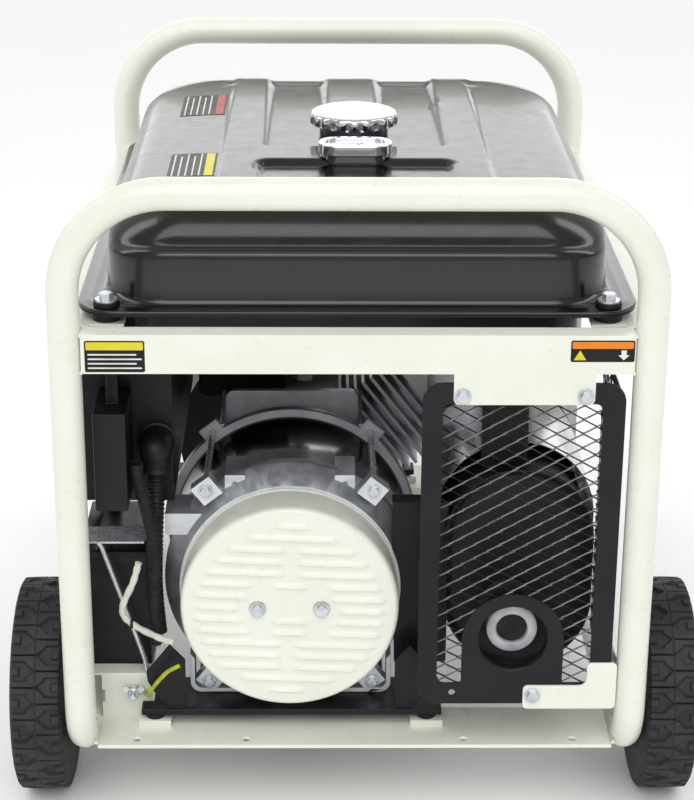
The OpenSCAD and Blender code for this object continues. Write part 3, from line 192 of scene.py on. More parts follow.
CREAM = srgb(233, 236, 224)
MAT = {
    "cream_paint": surface("cream_powder_coat", srgb(226, 230, 216), CREAM, (0.26, 0.36), coat=0.15,
                           grain=(650, 0.10, 0.0003), dust=(srgb(206, 208, 194), 60, 0.70)),
    "black_paint": surface("black_powder_coat", srgb(14, 14, 17), srgb(24, 24, 28), (0.34, 0.46),
                           grain=(1400, 0.22, 0.0003), dust=(srgb(54, 54, 58), 160, 0.76), spec=0.3),
    "gloss_black": surface("gloss_black_enamel", srgb(8, 8, 10), srgb(15, 14, 17), (0.16, 0.26), coat=0.3,
                           grain=(420, 0.05, 0.0003), ripple=(22, 0.05, 0.002)),
    "zinc": surface("zinc_plate", srgb(184, 188, 196), srgb(222, 224, 226), (0.2, 0.34), metal=0.75,
                    grain=(900, 0.2, 0.0002), blotch=60),
    "bright_steel": surface("bright_steel", srgb(176, 178, 182), srgb(226, 226, 226), (0.16, 0.3), metal=1.0,
                            grain=(500, 0.12, 0.0002), ripple=(16, 0.35, 0.004)),
    "dark_steel": surface("dark_steel", srgb(58, 58, 62), srgb(92, 90, 90), (0.38, 0.6), metal=0.85,
                          grain=(800, 0.3, 0.0003), blotch=40),
    "chrome": surface("chrome_plate", srgb(206, 208, 214), srgb(232, 233, 236), (0.04, 0.1), metal=1.0,
                      grain=(300, 0.03, 0.0002)),
    "cast_alloy": surface("cast_alloy", srgb(150, 153, 160), srgb(206, 208, 214), (0.34, 0.5), metal=0.7,
                          grain=(1100, 0.4, 0.0004), blotch=30),
    "cast_iron": surface("cast_iron", srgb(44, 43, 44), srgb(74, 72, 72), (0.5, 0.7), metal=0.6,
                         grain=(800, 0.5, 0.0005), blotch=34),
    "rubber": surface("moulded_rubber", srgb(13, 13, 14), srgb(26, 26, 27), (0.42, 0.6),
                      grain=(1200, 0.3, 0.0003), blotch=40, spec=0.35),
    "tyre": surface("tyre_rubber", srgb(24, 25, 27), srgb(46, 47, 50), (0.6, 0.8),
                    grain=(900, 0.45, 0.0004), blotch=30, dust=(srgb(120, 120, 120), 90, 0.66)),
    "rim_plastic": surface("rim_plastic", srgb(34, 34, 36), srgb(52, 52, 54), (0.45, 0.6),
                           grain=(1500, 0.25, 0.0002)),
    "black_plastic": surface("black_plastic", srgb(13, 13, 15), srgb(24, 24, 27), (0.32, 0.46),
                             grain=(1600, 0.25, 0.0002), blotch=30, spec=0.3),
    "white_plastic": surface("white_plastic", srgb(205, 205, 196), srgb(238, 238, 232), (0.4, 0.55),
                             grain=(1500, 0.2, 0.0002), blotch=60),
    "red_plastic": surface("red_plastic", srgb(150, 14, 10), srgb(196, 24, 16), (0.3, 0.42),
                           grain=(1500, 0.15, 0.0002)),
    "green_plastic": surface("green_plastic", srgb(10, 88, 34), srgb(20, 124, 50), (0.3, 0.42),
                             grain=(1500, 0.15, 0.0002)),
    "yellow_plastic": surface("yellow_plastic", srgb(206, 190, 10), srgb(232, 222, 40), (0.35, 0.5),
                              grain=(1500, 0.15, 0.0002)),
    "glass": surface("gauge_glass", srgb(196, 204, 210), srgb(222, 228, 232), (0.04, 0.08),
                     coat=1.0, grain=(200, 0.02, 0.0001)),
}
# lighter alloy for the camera-facing faces of cast parts: partly real machined faces, partly painted light that
# brightens the lit front side
MAT_MACHINED_LIT_FRONT = surface("machined_alloy_painted_lit_front", srgb(204, 207, 213), srgb(240, 241, 244), (0.3, 0.42), metal=0.1,
                       grain=(900, 0.3, 0.0003), blotch=40)


# ---------- Mesh helpers ----------

class Shape:
    """Collects vertices and faces in millimetres."""

    def __init__(self):
        self.v, self.f, self.slots, self.slot = [], [], [], 0

    def face(self, *ids):
        self.f.append(ids)
        self.slots.append(self.slot)

    def points(self, pts):
        start = len(self.v)
        self.v.extend(tuple(p) for p in pts)
        return start

    def loft(self, rings, closed=True, cap=(True, True)):
        """Skins rings that have the same number of points; closed joins each ring's ends."""
        n = len(rings[0])
        at = [self.points(r) for r in rings]
        for a, b in zip(at, at[1:]):
            for i in range(n if closed else n - 1):
                j = (i + 1) % n
                self.face(a + i, a + j, b + j, b + i)
        if closed:
            if cap[0]:
                self.face(*(at[0] + i for i in reversed(range(n))))
            if cap[1]:
                self.face(*(at[-1] + i for i in range(n)))
        return at

    def prism(self, outline, place, a, b):
        """Closed outline of (u, v) pairs, drawn between a and b; place(u, v, w) gives the point."""
        self.loft([[place(u, v, w) for u, v in outline] for w in (a, b)])

    def box(self, x, y, z):
        self.prism([(x[0], y[0]), (x[1], y[0]), (x[1], y[1]), (x[0], y[1])], along_z, z[0], z[1])

    def turn(self, profile, centre, axis="y", n=64, start=0.0):
        """Turned solid: profile is (radius, position along the axis), from one end to the other."""
        c = Vector(centre)
        hollow = min(profile[0][0], profile[-1][0]) > 0.02
        rings = []
        for r, w in list(profile) + ([profile[0]] if hollow else []):
            rings.append([spin(c, axis, max(r, 0.001), w, start + 2 * math.pi * i / n) for i in range(n)])
        self.loft(rings, cap=(not hollow, not hollow))

    def tube(self, path, r, n=16, cap=True):
        """Round tube along points; r is a number or a function of the share of the way along."""
        pts = [Vector(p) for p in path]
        pts = [p for i, p in enumerate(pts) if i == 0 or (p - pts[i - 1]).length > 1e-4]
        t = (pts[1] - pts[0]).normalized()
        u = t.orthogonal().normalized()
        rings = []
        for i, p in enumerate(pts):
            nt = (pts[min(i + 1, len(pts) - 1)] - pts[max(i - 1, 0)]).normalized()
            u = (t.rotation_difference(nt) @ u)
            u = (u - nt * u.dot(nt)).normalized()
            t = nt
            w = nt.cross(u)
            rr = r(i / (len(pts) - 1)) if callable(r) else r
            rings.append([p + rr * (math.cos(a) * u + math.sin(a) * w)
                          for a in (2 * math.pi * k / n for k in range(n))])
        self.loft(rings, cap=(cap, cap))

    def add(self, name, body, mats, slot=None, replaces=(), bevel=0.0, smooth=38):
        me = bpy.data.meshes.new(name)
        me.from_pydata([(x * MM, (y + NEAR_Y) * MM, z * MM) for x, y, z in self.v], [], self.f)
        mats = list(mats) if isinstance(mats, (list, tuple)) else [mats]
        for m in mats:
            me.materials.append(MAT[m] if isinstance(m, str) else m)
        me.polygons.foreach_set("material_index", self.slots)
        bm = bmesh.new()
        bm.from_mesh(me)
        bmesh.ops.remove_doubles(bm, verts=bm.verts, dist=1e-6)
        bmesh.ops.recalc_face_normals(bm, faces=bm.faces)
        bm.to_mesh(me)
        bm.free()
        return settle(me, name, body,
                      replaces, bevel, smooth)


def settle(me, name, body, replaces=(), bevel=0.0, smooth=38):
    """Shades the mesh, bevels its sharp edges and says which body it rides on and what it replaces."""
    me.polygons.foreach_set("use_smooth", [True] * len(me.polygons))
    me.set_sharp_from_angle(angle=math.radians(smooth))
    ob = bpy.data.objects.new(name, me)
    bpy.context.scene.collection.objects.link(ob)
    if bevel:
        mod = ob.modifiers.new("edges", "BEVEL")
        mod.width = bevel * MM
        mod.segments = 2
        mod.limit_method = "ANGLE"
        mod.angle_limit = math.radians(42)
        mod.harden_normals = True
    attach(ob, body)
    if replaces:
        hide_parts(*([replaces] if isinstance(replaces, str) else replaces))
    return ob


def along_x(u, v, w):
    return (w, u, v)


def along_y(u, v, w):
    return (u, w, v)


def along_z(u, v, w):
    return (u, v, w)


def spin(c, axis, r, w, a):
    s, k = r * math.sin(a), r * math.cos(a)
    return {"x": (c[0] + w, c[1] + k, c[2] + s), "y": (c[0] + k, c[1] + w, c[2] + s),
            "z": (c[0] + k, c[1] + s, c[2] + w)}[axis]


def arc(cx, cy, r, a0, a1, n):
    """Points from angle a0 to a1, in degrees."""
    return [(cx + r * math.cos(math.radians(a0 + (a1 - a0) * i / n)),
             cy + r * math.sin(math.radians(a0 + (a1 - a0) * i / n))) for i in range(n + 1)]


def rounded(u, v, r, n=6):
    """Outline of a rectangle with rounded corners."""
    r = min(r, (u[1] - u[0]) / 2 - 0.01, (v[1] - v[0]) / 2 - 0.01)
    return (arc(u[1] - r, v[1] - r, r, 0, 90, n) + arc(u[0] + r, v[1] - r, r, 90, 180, n)
            + arc(u[0] + r, v[0] + r, r, 180, 270, n) + arc(u[1] - r, v[0] + r, r, 270, 360, n))


def smoothstep(a, b, t):
    t = min(max((t - a) / (b - a), 0.0), 1.0)
    return t * t * (3 - 2 * t)


def spline(points, n):
    """Catmull-Rom curve through points, with n steps between each two."""
    p = [Vector(q) for q in points]
    out = []
    for i in range(len(p) - 1):
        a, b, c, d = p[max(i - 1, 0)], p[i], p[i + 1], p[min(i + 2, len(p) - 1)]
        for k in range(n):
            t = k / n
            out.append(0.5 * (2 * b + (c - a) * t + (2 * a - 5 * b + 4 * c - d) * t ** 2
                              + (3 * b - a - 3 * c + d) * t ** 3))
    return out + [p[-1]]


def dressed(node, bevel=0.6, smooth=38):
    """Copy of a CAD node with its long edges rounded, which stands for that node."""
    me = frame["nodes"][node].data.copy()
    me.name = node + "_finished"
    me.materials.clear()
    me.materials.append(MAT[SLOT[node]])
    machined_lit_front = SLOT[node] == "cast_alloy"
    if machined_lit_front:
        me.materials.append(MAT_MACHINED_LIT_FRONT)
    bm = bmesh.new()
    bm.from_mesh(me)
    bm.normal_update()
    for f in bm.faces:
        # faces turned toward the camera (normal toward -Y) take the lighter alloy: partly machined faces, partly
        # painted light on the front side
        f.material_index = 1 if machined_lit_front and f.normal.y < -0.9 else 0
    bmesh.ops.remove_doubles(bm, verts=bm.verts, dist=2e-6)
    bmesh.ops.dissolve_degenerate(bm, edges=bm.edges, dist=1e-6)
    bmesh.ops.dissolve_limit(bm, angle_limit=math.radians(1.0), verts=bm.verts, edges=bm.edges)
    bm.to_mesh(me)
    bm.free()
    return settle(me, node + "_finished", BODY[node], node, bevel, smooth)


def hex_bolt(shape, c, axis, r, direction=-1, washer=2.1, height=4.4, turn=0.0):
    """Flanged hex head whose seat is at c; direction is which way along the axis the head points."""
    d = direction
    shape.turn([(0, 0), (washer * r, 0), (washer * r, d * 0.7), (washer * r - 0.8, d * 1.3),
                (1.62 * r, d * 2.0), (0, d * 2.0)], c, axis, 28)
    shape.turn([(0, d * 1.5), (1.55 * r, d * 1.5), (1.55 * r, d * (height + 0.6)),
                (1.3 * r, d * (height + 1.4)), (0.9 * r, d * (height + 1.2)), (0, d * (height + 0.9))],
               c, axis, 6, turn)


# ---------- Frame: tubes, welds, sheet parts ----------

TOP_BEND = 100
FOOT_BEND = box_of("near_hoop").y1
HOOP_GAP = box_of("tank_rails").y1 - TUBE_R


def hoop_path(y, s, top):
    """Centre line of a hoop in the plane y whose legs turn towards s into the base tubes."""
    half = [(SIDE_X, y + s * FOOT_BEND, BASE_Z)]
    half += [(SIDE_X, y + s * (FOOT_BEND + u), w + BASE_Z + FOOT_BEND)
             for u, w in arc(0, 0, FOOT_BEND, 270, 180, 12)]
    half += [(SIDE_X, y, BASE_Z + FOOT_BEND + k) for k in (60, 200)]
    half += [(SIDE_X - TOP_BEND + u, y, top - TOP_BEND + w) for u, w in arc(0, 0, TOP_BEND, 0, 90, 18)]
    return half + [(-x, yy, z) for x, yy, z in reversed(half)]


def weld(shape, c, axis, r, thick, n=48):
    """Rippled weld bead round a tube."""
    ring = [spin(Vector(c), axis, r, 0.5 * math.sin(i * 2.3), math.radians(360 * i / n)) for i in range(n + 1)]
    shape.tube(ring, lambda t: thick * (1 + 0.22 * math.sin(t * n * 1.9)), 8)


for node, y, s in (("near_hoop", 0, 1), ("far_hoop", HOOP_GAP, -1)):
    sh = Shape()
    sh.tube(hoop_path(y, s, box_of(node).z1 - TUBE_R), TUBE_R, 40)
    for x in (-SIDE_X, SIDE_X):
        weld(sh, (x, y + s * FOOT_BEND, BASE_Z), "y", TUBE_R, 1.2)
    if node == "far_hoop":
        handle = box_of("fold_handle")
        hr = handle.x1 - SIDE_X
        hz = handle.z1 - hr
        for x in (-SIDE_X, SIDE_X):
            for e in (-1, 1):
                at = x + e * (hr + 2.5)
                outline = arc(handle.cy, hz, 12, -90, 90, 12) + [(HOOP_GAP + 8, hz + 12), (HOOP_GAP + 8, hz - 12)]
                sh.prism(outline, along_x, at - 2, at + 2)
    sh.add(node + "_tube", BODY[node], "cream_paint", replaces=node)

sh = Shape()
base = box_of("base_tubes")
for x in (-SIDE_X, SIDE_X):
    sh.tube([(x, base.y0 + (base.y1 - base.y0) * k / 6, BASE_Z) for k in range(7)], TUBE_R, 40)
sh.add("base_tube_pair", BODY["base_tubes"], "cream_paint", replaces="base_tubes")

# Handle: bent tube with rubber sleeves over the grip
sh = Shape()
low = handle.z0 + hr
bend = 40
half = [(SIDE_X, handle.cy, hz), (SIDE_X, handle.cy, (hz + low) / 2)]
half += [(SIDE_X - bend + u, handle.cy, low + bend + w) for u, w in arc(0, 0, bend, 0, -90, 12)]
sh.tube(half + [(-x, y, z) for x, y, z in reversed(half)], hr, 32)
sh.add("fold_handle_tube", "handle", "cream_paint", replaces="fold_handle")
sh = Shape()
for s in (-1, 1):
    x0 = s * 62
    pts = [(x0 + s * k * 4.2, handle.cy, low) for k in range(31)]
    sh.tube(pts, lambda t: hr + (0.1 if int(t * 30) % 2 else 0.45), 32)
sh.add("handle_grip_sleeves", "handle", "rubber")
sh = Shape()
for x in (-SIDE_X, SIDE_X):
    s = 1 if x > 0 else -1
    hex_bolt(sh, (x + s * (hr + 4.5), handle.cy, hz), "x", 4, s, washer=2.4, height=4)
    hex_bolt(sh, (x - s * (hr + 4.5), handle.cy, hz), "x", 4, -s, washer=2.4, height=4)
sh.add("handle_pivot_bolts", "frame", "zinc")

# Weld beads where sheet parts meet the tubes
sh = Shape()
rails = box_of("tank_rails")
for s in (-1, 1):
    for z in (rails.z1 - 1, rails.z0 + 1):
        sh.tube([(s * (SIDE_X - TUBE_R - 0.5), -10 + 2.0 * k, z + 0.4 * math.sin(k * 2.1)) for k in range(11)],
                lambda t: 1.5 + 0.35 * math.sin(t * 23), 6)
    for y0 in (4, HOOP_GAP - 56):
        sh.tube([(s * (SIDE_X - TUBE_R + 2), y0 + 2.6 * k, BASE_Z + 8 + 0.4 * math.sin(k * 1.7)) for k in range(21)],
                lambda t: 2.0 + 0.45 * math.sin(t * 40), 6)
sh.add("frame_weld_beads", "frame", "cream_paint")

for node, bevel in (("tank_rails", 0.9), ("near_crossbar", 0.9), ("base_channels", 0.8), ("rear_legs", 0.8),
                    ("guard_bracket", 0.8), ("wheel_axles", 0.8), ("rubber_feet", 0.6), ("rubber_mounts", 0.8),
                    ("foot_bracket", 1.4), ("end_bell", 1.0), ("adaptor_housing", 1.2), ("rotor", 0.6),
                    ("crankcase", 2.0), ("cylinder_head", 0.8), ("blower_housing", 0.8), ("flywheel", 0.8),
                    ("recoil_starter", 1.2), ("recoil_grip", 1.0), ("air_filter", 2.0), ("carburettor", 1.0),
                    ("choke_lever", 0.5), ("fuel_valve", 0.5), ("oil_dipstick", 0.6), ("heat_shield", 0.4),
                    ("muffler_stay", 0.6), ("control_panel", 0.7), ("receptacles", 0.6), ("outlet_cover", 0.6),
                    ("engine_switch", 0.8), ("start_button", 0.8), ("main_breaker", 0.8), ("battery", 1.6),
                    ("battery_rod", 0.3), ("avr_box", 1.4),
                    ("engine_cradle", 1.0), ("tank_lower_shell", 0.8), ("muffler_guard", 0.7),
                    ("left_rim", 0.8), ("right_rim", 0.8), ("gauge_bezel", 1.2), ("gauge_lens", 0.8),
                    ("alternator_bolts", 0.3), ("frame_bolts", 0.4)):
    dressed(node, bevel, 5 if node == "adaptor_housing" else 38)

# ---------- Cables and labels ----------

def hose(shape, points, r, pitch, depth, twist=0):
    """Hose with ribs (twist 0) or with twist plaited strands round it."""
    path = spline(points, 40)
    length = sum((q - p).length for p, q in zip(path, path[1:]))
    if not twist:
        shape.tube(path, lambda t: r - depth * (0.5 - 0.5 * math.cos(2 * math.pi * t * length / pitch)) ** 2, 20)
        return path
    shape.tube(path, r - depth, 16)
    for way in (-1, 1):
        for k in range(twist):
            line = []
            for i, p in enumerate(path):
                t = (path[min(i + 1, len(path) - 1)] - path[max(i - 1, 0)]).normalized()
                u = t.cross(Vector((1, 0, 0))).normalized()
                a = way * i * 2 * math.pi / len(path) * length / pitch + 2 * math.pi * k / twist
                line.append(p + (r - depth * 0.8) * (math.cos(a) * u + math.sin(a) * t.cross(u)))
            shape.tube(line, depth * 0.8, 6)
    return path


def build_cables():
    """Elbow and ribbed hose out of the panel, braided sleeve, white lead with its tie, earth wire, stud."""
    c = box_of("conduits")
    x, y = c.x1 - 17, 84
    panel = box_of("control_panel").y0
    sh = Shape()
    dome = [(17 * math.cos(math.radians(a)), -17 * math.sin(math.radians(a))) for a in range(0, 91, 9)]
    sh.turn([(21, panel - y), (21, panel - y - 3), (18.5, panel - y - 4), (18.5, panel - y - 7), (17, panel - y - 8)]
            + dome, (x, y, 398), "y", 48)
    sh.turn([(0, 0), (15, 0), (15, -15), (14, -16), (14, -18), (15.4, -19), (15.4, -22), (0, -22)],
            (x, y, 398), "z", 40)
    sh.add("panel_elbow", "frame", "rubber", replaces="conduits", smooth=60)
    sh = Shape()
    path = hose(sh, [(x, 84, 380), (x, 76, 350), (x - 2, 66, 300), (x - 3, 62, 250), (x, 62, 200)], 9, 4.2, 1.3)
    sh.add("ribbed_hose", "frame", "rubber", replaces="conduits", smooth=60)
    sh = Shape()
    path = hose(sh, [(x - 16, 40, 402), (x - 15, 42, 385), (x - 6, 46, 340), (x, 46, 300), (x - 2, 44, 250),
                     (x - 2, 44, 196)], 7, 34, 0.9, 5)
    sh.add("braided_sleeve", "frame", "rubber", replaces="conduits", smooth=60)
    sh = Shape()
    lead = [(x - 16, 30, 296), (x - 22, 28, 275), (x - 34, 28, 245), (x - 26, 28, 228), (x + 2, 30, 210),
            (x + 16, 32, 204)]
    path = hose(sh, lead, 3.6, 11, 0.5)
    sh.slot = 1
    sh.turn([(3.9, -1.6), (5, -1.2), (5, 1.2), (3.9, 1.6), (3, 0)], (x - 25, 28.2, 227), "x", 24)
    piece = sh.add("white_lead_sheath", "frame", [MAT_SHEATH, "black_plastic"], slot="white_plastic",
                   replaces="white_lead", smooth=60)
    s = box_of("ground_stud")
    gx, gz, y0 = s.cx, s.z0 + 7, s.y0
    sh = Shape()
    wire = [(x + 23, 28, 178), (x + 10, 29, 170), (x - 3, 33, 153), (x - 10, 40, 140), (x - 12, 50, 131),
            (gx + 14, 55.5, gz - 2.5), (gx + 7.2, 56, gz - 1.5)]
    path = spline(wire, 12)
    sh.tube(path, 2.2, 14)
    piece = sh.add("earth_wire_sheath", "frame", MAT_EARTH, slot="yellow_plastic", replaces="earth_wire", smooth=60)
    sh = Shape()
    thread = [(3.5 if k % 2 else 3.05, k * 0.6) for k in range(46)]
    sh.turn([(0, -0.3)] + thread + [(0, 27.5)], (gx, y0, gz), "y", 24)
    sh.turn([(0, 17), (7.2, 17), (7.2, 20), (0, 20)], (gx, y0, gz), "y", 6)
    sh.turn([(0, 15), (6.5, 15), (6.5, 16.8), (0, 16.8)], (gx, y0, gz), "y", 32)
    sh.box((gx + 4, gx + 7), (y0 + 15, y0 + 16.8), (gz - 4, gz + 1))
    sh.turn([(0, 9), (5, 9), (6, 10), (6, 15), (0, 15)], (gx, y0, gz), "y", 32)
    for side in (-1, 1):
        wing = [(gx + side * u, gz + v)
                for u, v in ((2, 1), (9, 1), (11.5, 3.5), (12, 7), (9.5, 9), (6.5, 7.5), (3, 5))]
        sh.prism(wing, along_y, y0 + 10.2, y0 + 12.4)
    sh.add("ground_stud_turned", "frame", "zinc", replaces="ground_stud", bevel=0.3)


def build_labels():
    """Blank labels: dark plates with a coloured band and plain rules."""
    y = box_of("near_crossbar").y0
    for name, u, v, band, rules in (("left_label", (-264, -206), (518, 550), 8, 4),
                                    ("right_label", (205, 267), (529, 551), 7, 0)):
        sh = Shape()
        sh.prism(rounded(u, v, 2), along_y, y - 0.25, y + 0.1)
        sh.slot = 1
        sh.prism(rounded((u[0] + 1.4, u[1] - 1.4), (v[1] - 1.4 - band, v[1] - 1.4), 1), along_y, y - 0.4, y - 0.2)
        sh.slot = 2
        for k in range(rules):
            z = v[0] + 3.4 + k * 4.6
            sh.box((u[0] + 3, u[1] - 3 - 5 * (k % 2)), (y - 0.4, y - 0.2), (z, z + 1.5))
        if not rules:
            sh.prism([(u[1] - 13, 541), (u[1] - 13, 536), (u[1] - 16, 536), (u[1] - 10.5, 531), (u[1] - 5, 536),
                      (u[1] - 8, 536), (u[1] - 8, 541)], along_y, y - 0.4, y - 0.2)
            sh.slot = 3
            sh.prism([(u[0] + 3, 531), (u[0] + 15, 531), (u[0] + 9, 541)], along_y, y - 0.4, y - 0.2)
        sh.add(name, "frame", ["black_plastic", "yellow_plastic" if rules else MAT_ORANGE, "white_plastic",
                               "yellow_plastic"], slot="black_plastic", smooth=30)


MAT_SHEATH = surface("lead_sheath", srgb(190, 194, 180), srgb(216, 219, 206), (0.45, 0.6), blotch=60,
                     grain=(900, 0.3, 0.0003))
MAT_EARTH = surface("earth_sheath", srgb(96, 140, 20), srgb(226, 210, 30), (0.35, 0.5), blotch=110,
                    grain=(900, 0.1, 0.0002))
MAT_ORANGE = surface("orange_print", srgb(224, 120, 10), srgb(240, 138, 24), (0.35, 0.5), blotch=60,
                     grain=(900, 0.1, 0.0002))
build_cables()
build_labels()

# ---------- Fuel tank ----------

def inside(u, v, r, x, y):
    """How far (x, y) lies inside a rectangle with rounded corners."""
    du = max(u[0] + r - x, x - (u[1] - r), 0)
    dv = max(v[0] + r - y, y - (v[1] - r), 0)
    if du and dv:
        return r - math.hypot(du, dv)
    return min(x - u[0], u[1] - x, y - v[0], v[1] - y)


def tank_top_height(x, y, t):
    """Height of the pressed top: plateau, shoulders, the panel round the filler and the near one."""
    a = abs(x)
    z = t.top - 4.5 * smoothstep(137, 145, a) - 3.5 * max((a - 145) / 65, 0) ** 1.6
    floor = min(inside((-102, 102), (t.gauge_y + 40, t.y1 + 30), 14, x, y),
                math.hypot(max(a - 26, 0), max(t.cap_y + 62 - y, 0)))
    z -= 8 * smoothstep(-0.5, 12, floor)
    z -= 7 * smoothstep(-0.5, 11, inside((-107, 107), (t.y0 + 30, t.gauge_y - 12), 18, x, y)) * smoothstep(
        t.y0 + 78, t.y0 + 120, y)
    return z


def build_tank():
    upper, lower, gauge = box_of("tank_upper_shell"), box_of("tank_lower_shell"), box_of("gauge_bezel")
    T = namedtuple("T", "w y0 y1 base top gauge_y cap_y")
    t = T(upper.x1 - 25, upper.y0 + 20, upper.y1 - 28, upper.z0 + 3, upper.z1 - 12, gauge.cy,
          box_of("fuel_cap").cy)
    fillet = [(-6, 0), (-4.6, 0.15), (-3, 0.9), (-1.6, 2.2), (-0.6, 4), (0, 6.5)]
    rise = t.top - t.base
    near = fillet + [(0.2, 18), (0.5, 32), (0.9, 44), (1.3, 49), (2.2, 51.8), (3.8, 53.6), (6.2, 54.9), (9, 56),
                     (11.4, 57.8)]
    near += [(78 + 78 * math.cos(a), rise - 78 + 78 * math.sin(a))
             for a in (math.radians(146 - 54 * i / 13) for i in range(14))]
    run = [0.0]
    for p, q in zip(near[5:], near[6:]):
        run.append(run[-1] + math.hypot(q[0] - p[0], q[1] - p[1]))
    share = [r / run[-1] for r in run]

    def along(poly, f):
        lengths = [math.hypot(q[0] - p[0], q[1] - p[1]) for p, q in zip(poly, poly[1:])]
        want = f * sum(lengths)
        for (p, q), k in zip(zip(poly, poly[1:]), lengths):
            if want <= k or q is poly[-1]:
                return (p[0] + (q[0] - p[0]) * min(want / k, 1), p[1] + (q[1] - p[1]) * min(want / k, 1))
            want -= k

    side_line = [(0, 6.5), (0.4, rise - 48)] + arc(40, rise - 48, 40, 180, 90, 16)[1:]
    far_line = [(0, 6.5), (0.4, rise - 60)] + arc(60, rise - 60, 60, 180, 90, 16)[1:]
    side = fillet + [along(side_line, f) for f in share[1:]]
    far = fillet + [along(far_line, f) for f in share[1:]]

    def outline(a_side, a_near, a_far, r, z_side, z_near, z_far, settle_to=0.0):
        w, y0, y1 = t.w - a_side, t.y0 + a_near, t.y1 - a_far
        r = max(min(r, w - 0.01, (y1 - y0) / 2 - 0.01), 0.01)
        pts = []

        def put(x, y, z):
            if settle_to:
                z += (tank_top_height(x, y, t) - z) * settle_to
            pts.append((x, y, z))

        starts = ((w, y0 + r), (w - r, y1), (-w, y1 - r), (r - w, y0))
        ends = ((w, y1 - r), (r - w, y1), (-w, y0 + r), (w - r, y0))
        corners = ((w - r, y1 - r), (r - w, y1 - r), (r - w, y0 + r), (w - r, y0 + r))
        heights = (z_side, z_far, z_side, z_near, z_side)
        corner_steps = 14
        for k in range(4):
            (xa, ya), (xb, yb), (xc, yc) = starts[k], ends[k], corners[k]
            za, zb = heights[k], heights[k + 1]
            steps = 84 if k % 2 else 96
            for i in range(steps):
                put(xa + (xb - xa) * i / steps, ya + (yb - ya) * i / steps, za)
            for i in range(corner_steps):
                a = math.pi / 2 * i / corner_steps
                turn = a + math.pi / 2 * k
                put(xc + r * math.cos(turn), yc + r * math.sin(turn), za + (zb - za) * math.sin(a) ** 2)
        return pts

    b = t.base
    rings = []
    for out, z in ((0, -3), (0.6, -2.6), (0.9, -1.5), (0.6, -0.4), (0, 0), (-2, 0.1), (-9, 0), (-11, 0.7),
                   (-13, 0.7), (-15, 0)):
        rings.append(outline(-25 - out, -20 - out, -28 - out, 40 + out, b + z, b + z, b + z))
    last = len(near) - 1
    for i, (s, n, f) in enumerate(zip(side, near, far)):
        k = smoothstep(0.72, 1.0, i / last)
        rings.append(outline(s[0], n[0], f[0], 60 + 14 * i / last, b + s[1], b + n[1], b + f[1], k))
    s, n, f = side[-1][0], near[-1][0], far[-1][0]
    reach = t.w - s
    steps = 84
    for i in range(1, steps + 1):
        d = (reach - 0.5) * i / steps
        rings.append([(x, y, tank_top_height(x, y, t)) for x, y, _ in
                      outline(s + d, n + d, f + d, max(74 - d * 0.9, 0.2), 0, 0, 0)])
    sh = Shape()
    sh.loft(rings)
    sh.add("tank_upper_pressing", "frame", "gloss_black", replaces="tank_upper_shell", smooth=50)

    # Filler neck and the gauge's pad
    sh = Shape()
    cap = box_of("fuel_cap")
    sh.turn([(31, -11), (41, -11), (39, -8), (37.8, -5), (37.2, 9), (36.4, 11), (35, 11.8), (31, 11.8)],
            (0, cap.cy, t.top), n=72, axis="z")
    pad = rounded((-34, 34), (gauge.cy - 19, gauge.cy + 19), 17, 10)
    levels = [(1.08, -9), (1.06, -2), (1.01, 0), (0.99, 2.4), (0.97, 3.6), (0.94, 4)]
    sh.loft([[(x * k, gauge.cy + (y - gauge.cy) * k, t.top + z) for x, y in pad] for k, z in levels])
    sh.add("tank_neck_and_gauge_pad", "frame", "gloss_black")
    return t


TANK = build_tank()


def build_tank_labels():
    for name, u, v, red in (("tank_label_far", (-197, -146), (447, 545), True),
                            ("tank_label_near", (-195, -146), (183, 275), False)):
        sh = Shape()

        def strip(u0, u1, v0, v1, low, high):
            rings = []
            for i in range(9):
                x = u0 + (u1 - u0) * i / 8
                z = tank_top_height(x, v0, TANK)
                rings.append([(x, v0, z + low), (x, v0, z + high), (x, v1, z + high), (x, v1, z + low)])
            sh.loft(rings)

        strip(*u, *v, -0.3, 0.35)
        sh.slot = 1
        strip(u[1] - 11, u[1] - 2, v[0] + 2, v[1] - 2, 0.2, 0.5)
        sh.slot = 2
        for k in range(5):
            x = u[0] + 4 + k * 7
            strip(x, x + 1.6, v[0] + 3, v[1] - 3 - 9 * (k % 2), 0.2, 0.5)
        sh.add(name, "frame", ["black_plastic", "red_plastic" if red else "yellow_plastic", "white_plastic"],
               slot="black_plastic")


build_tank_labels()


def build_cap():
    """Filler cap with flutes round its rim, and the gasket under it."""
    cap = box_of("fuel_cap")
    flutes = 18
    z0 = cap.z1 - 14
    r0 = cap.x1
    n = flutes * 14
    profile = [(r0 - 3, 0.2, 0), (r0 - 1.4, 0, 0), (r0 - 0.6, 0.7, 0.6), (r0 - 0.2, 2, 1), (r0 - 0.1, 6, 1),
               (r0 - 0.3, 9, 0.9), (r0 - 0.9, 10.6, 0.5), (r0 - 2.2, 12, 0.15), (r0 - 5, 13, 0), (r0 - 9, 13.5, 0),
               (r0 - 15, 13.8, 0), (20, 14, 0), (0.01, 14, 0)]
    rings = []
    for r, z, flute in profile:
        ring = []
        for i in range(n):
            a = 2 * math.pi * i / n
            dip = 1.7 * flute * (0.5 + 0.5 * math.cos(flutes * a))
            ring.append(((r - dip) * math.cos(a), cap.cy + (r - dip) * math.sin(a), z0 + z))
        rings.append(ring)
    sh = Shape()
    sh.loft(rings)
    sh.turn([(0, -8), (29, -8), (30, -7), (30, 0.3), (0, 0.3)], (0, cap.cy, z0), "z", 64)
    sh.slot = 1
    sh.turn([(30.2, -0.4), (42, -0.4), (43, 0), (42, 0.5), (30.2, 0.5)], (0, cap.cy, z0), "z", 64)
    sh.add("fuel_cap_chromed", "fuel_cap", ["chrome", "rubber"], slot="chrome", replaces="fuel_cap", smooth=50)


build_cap()


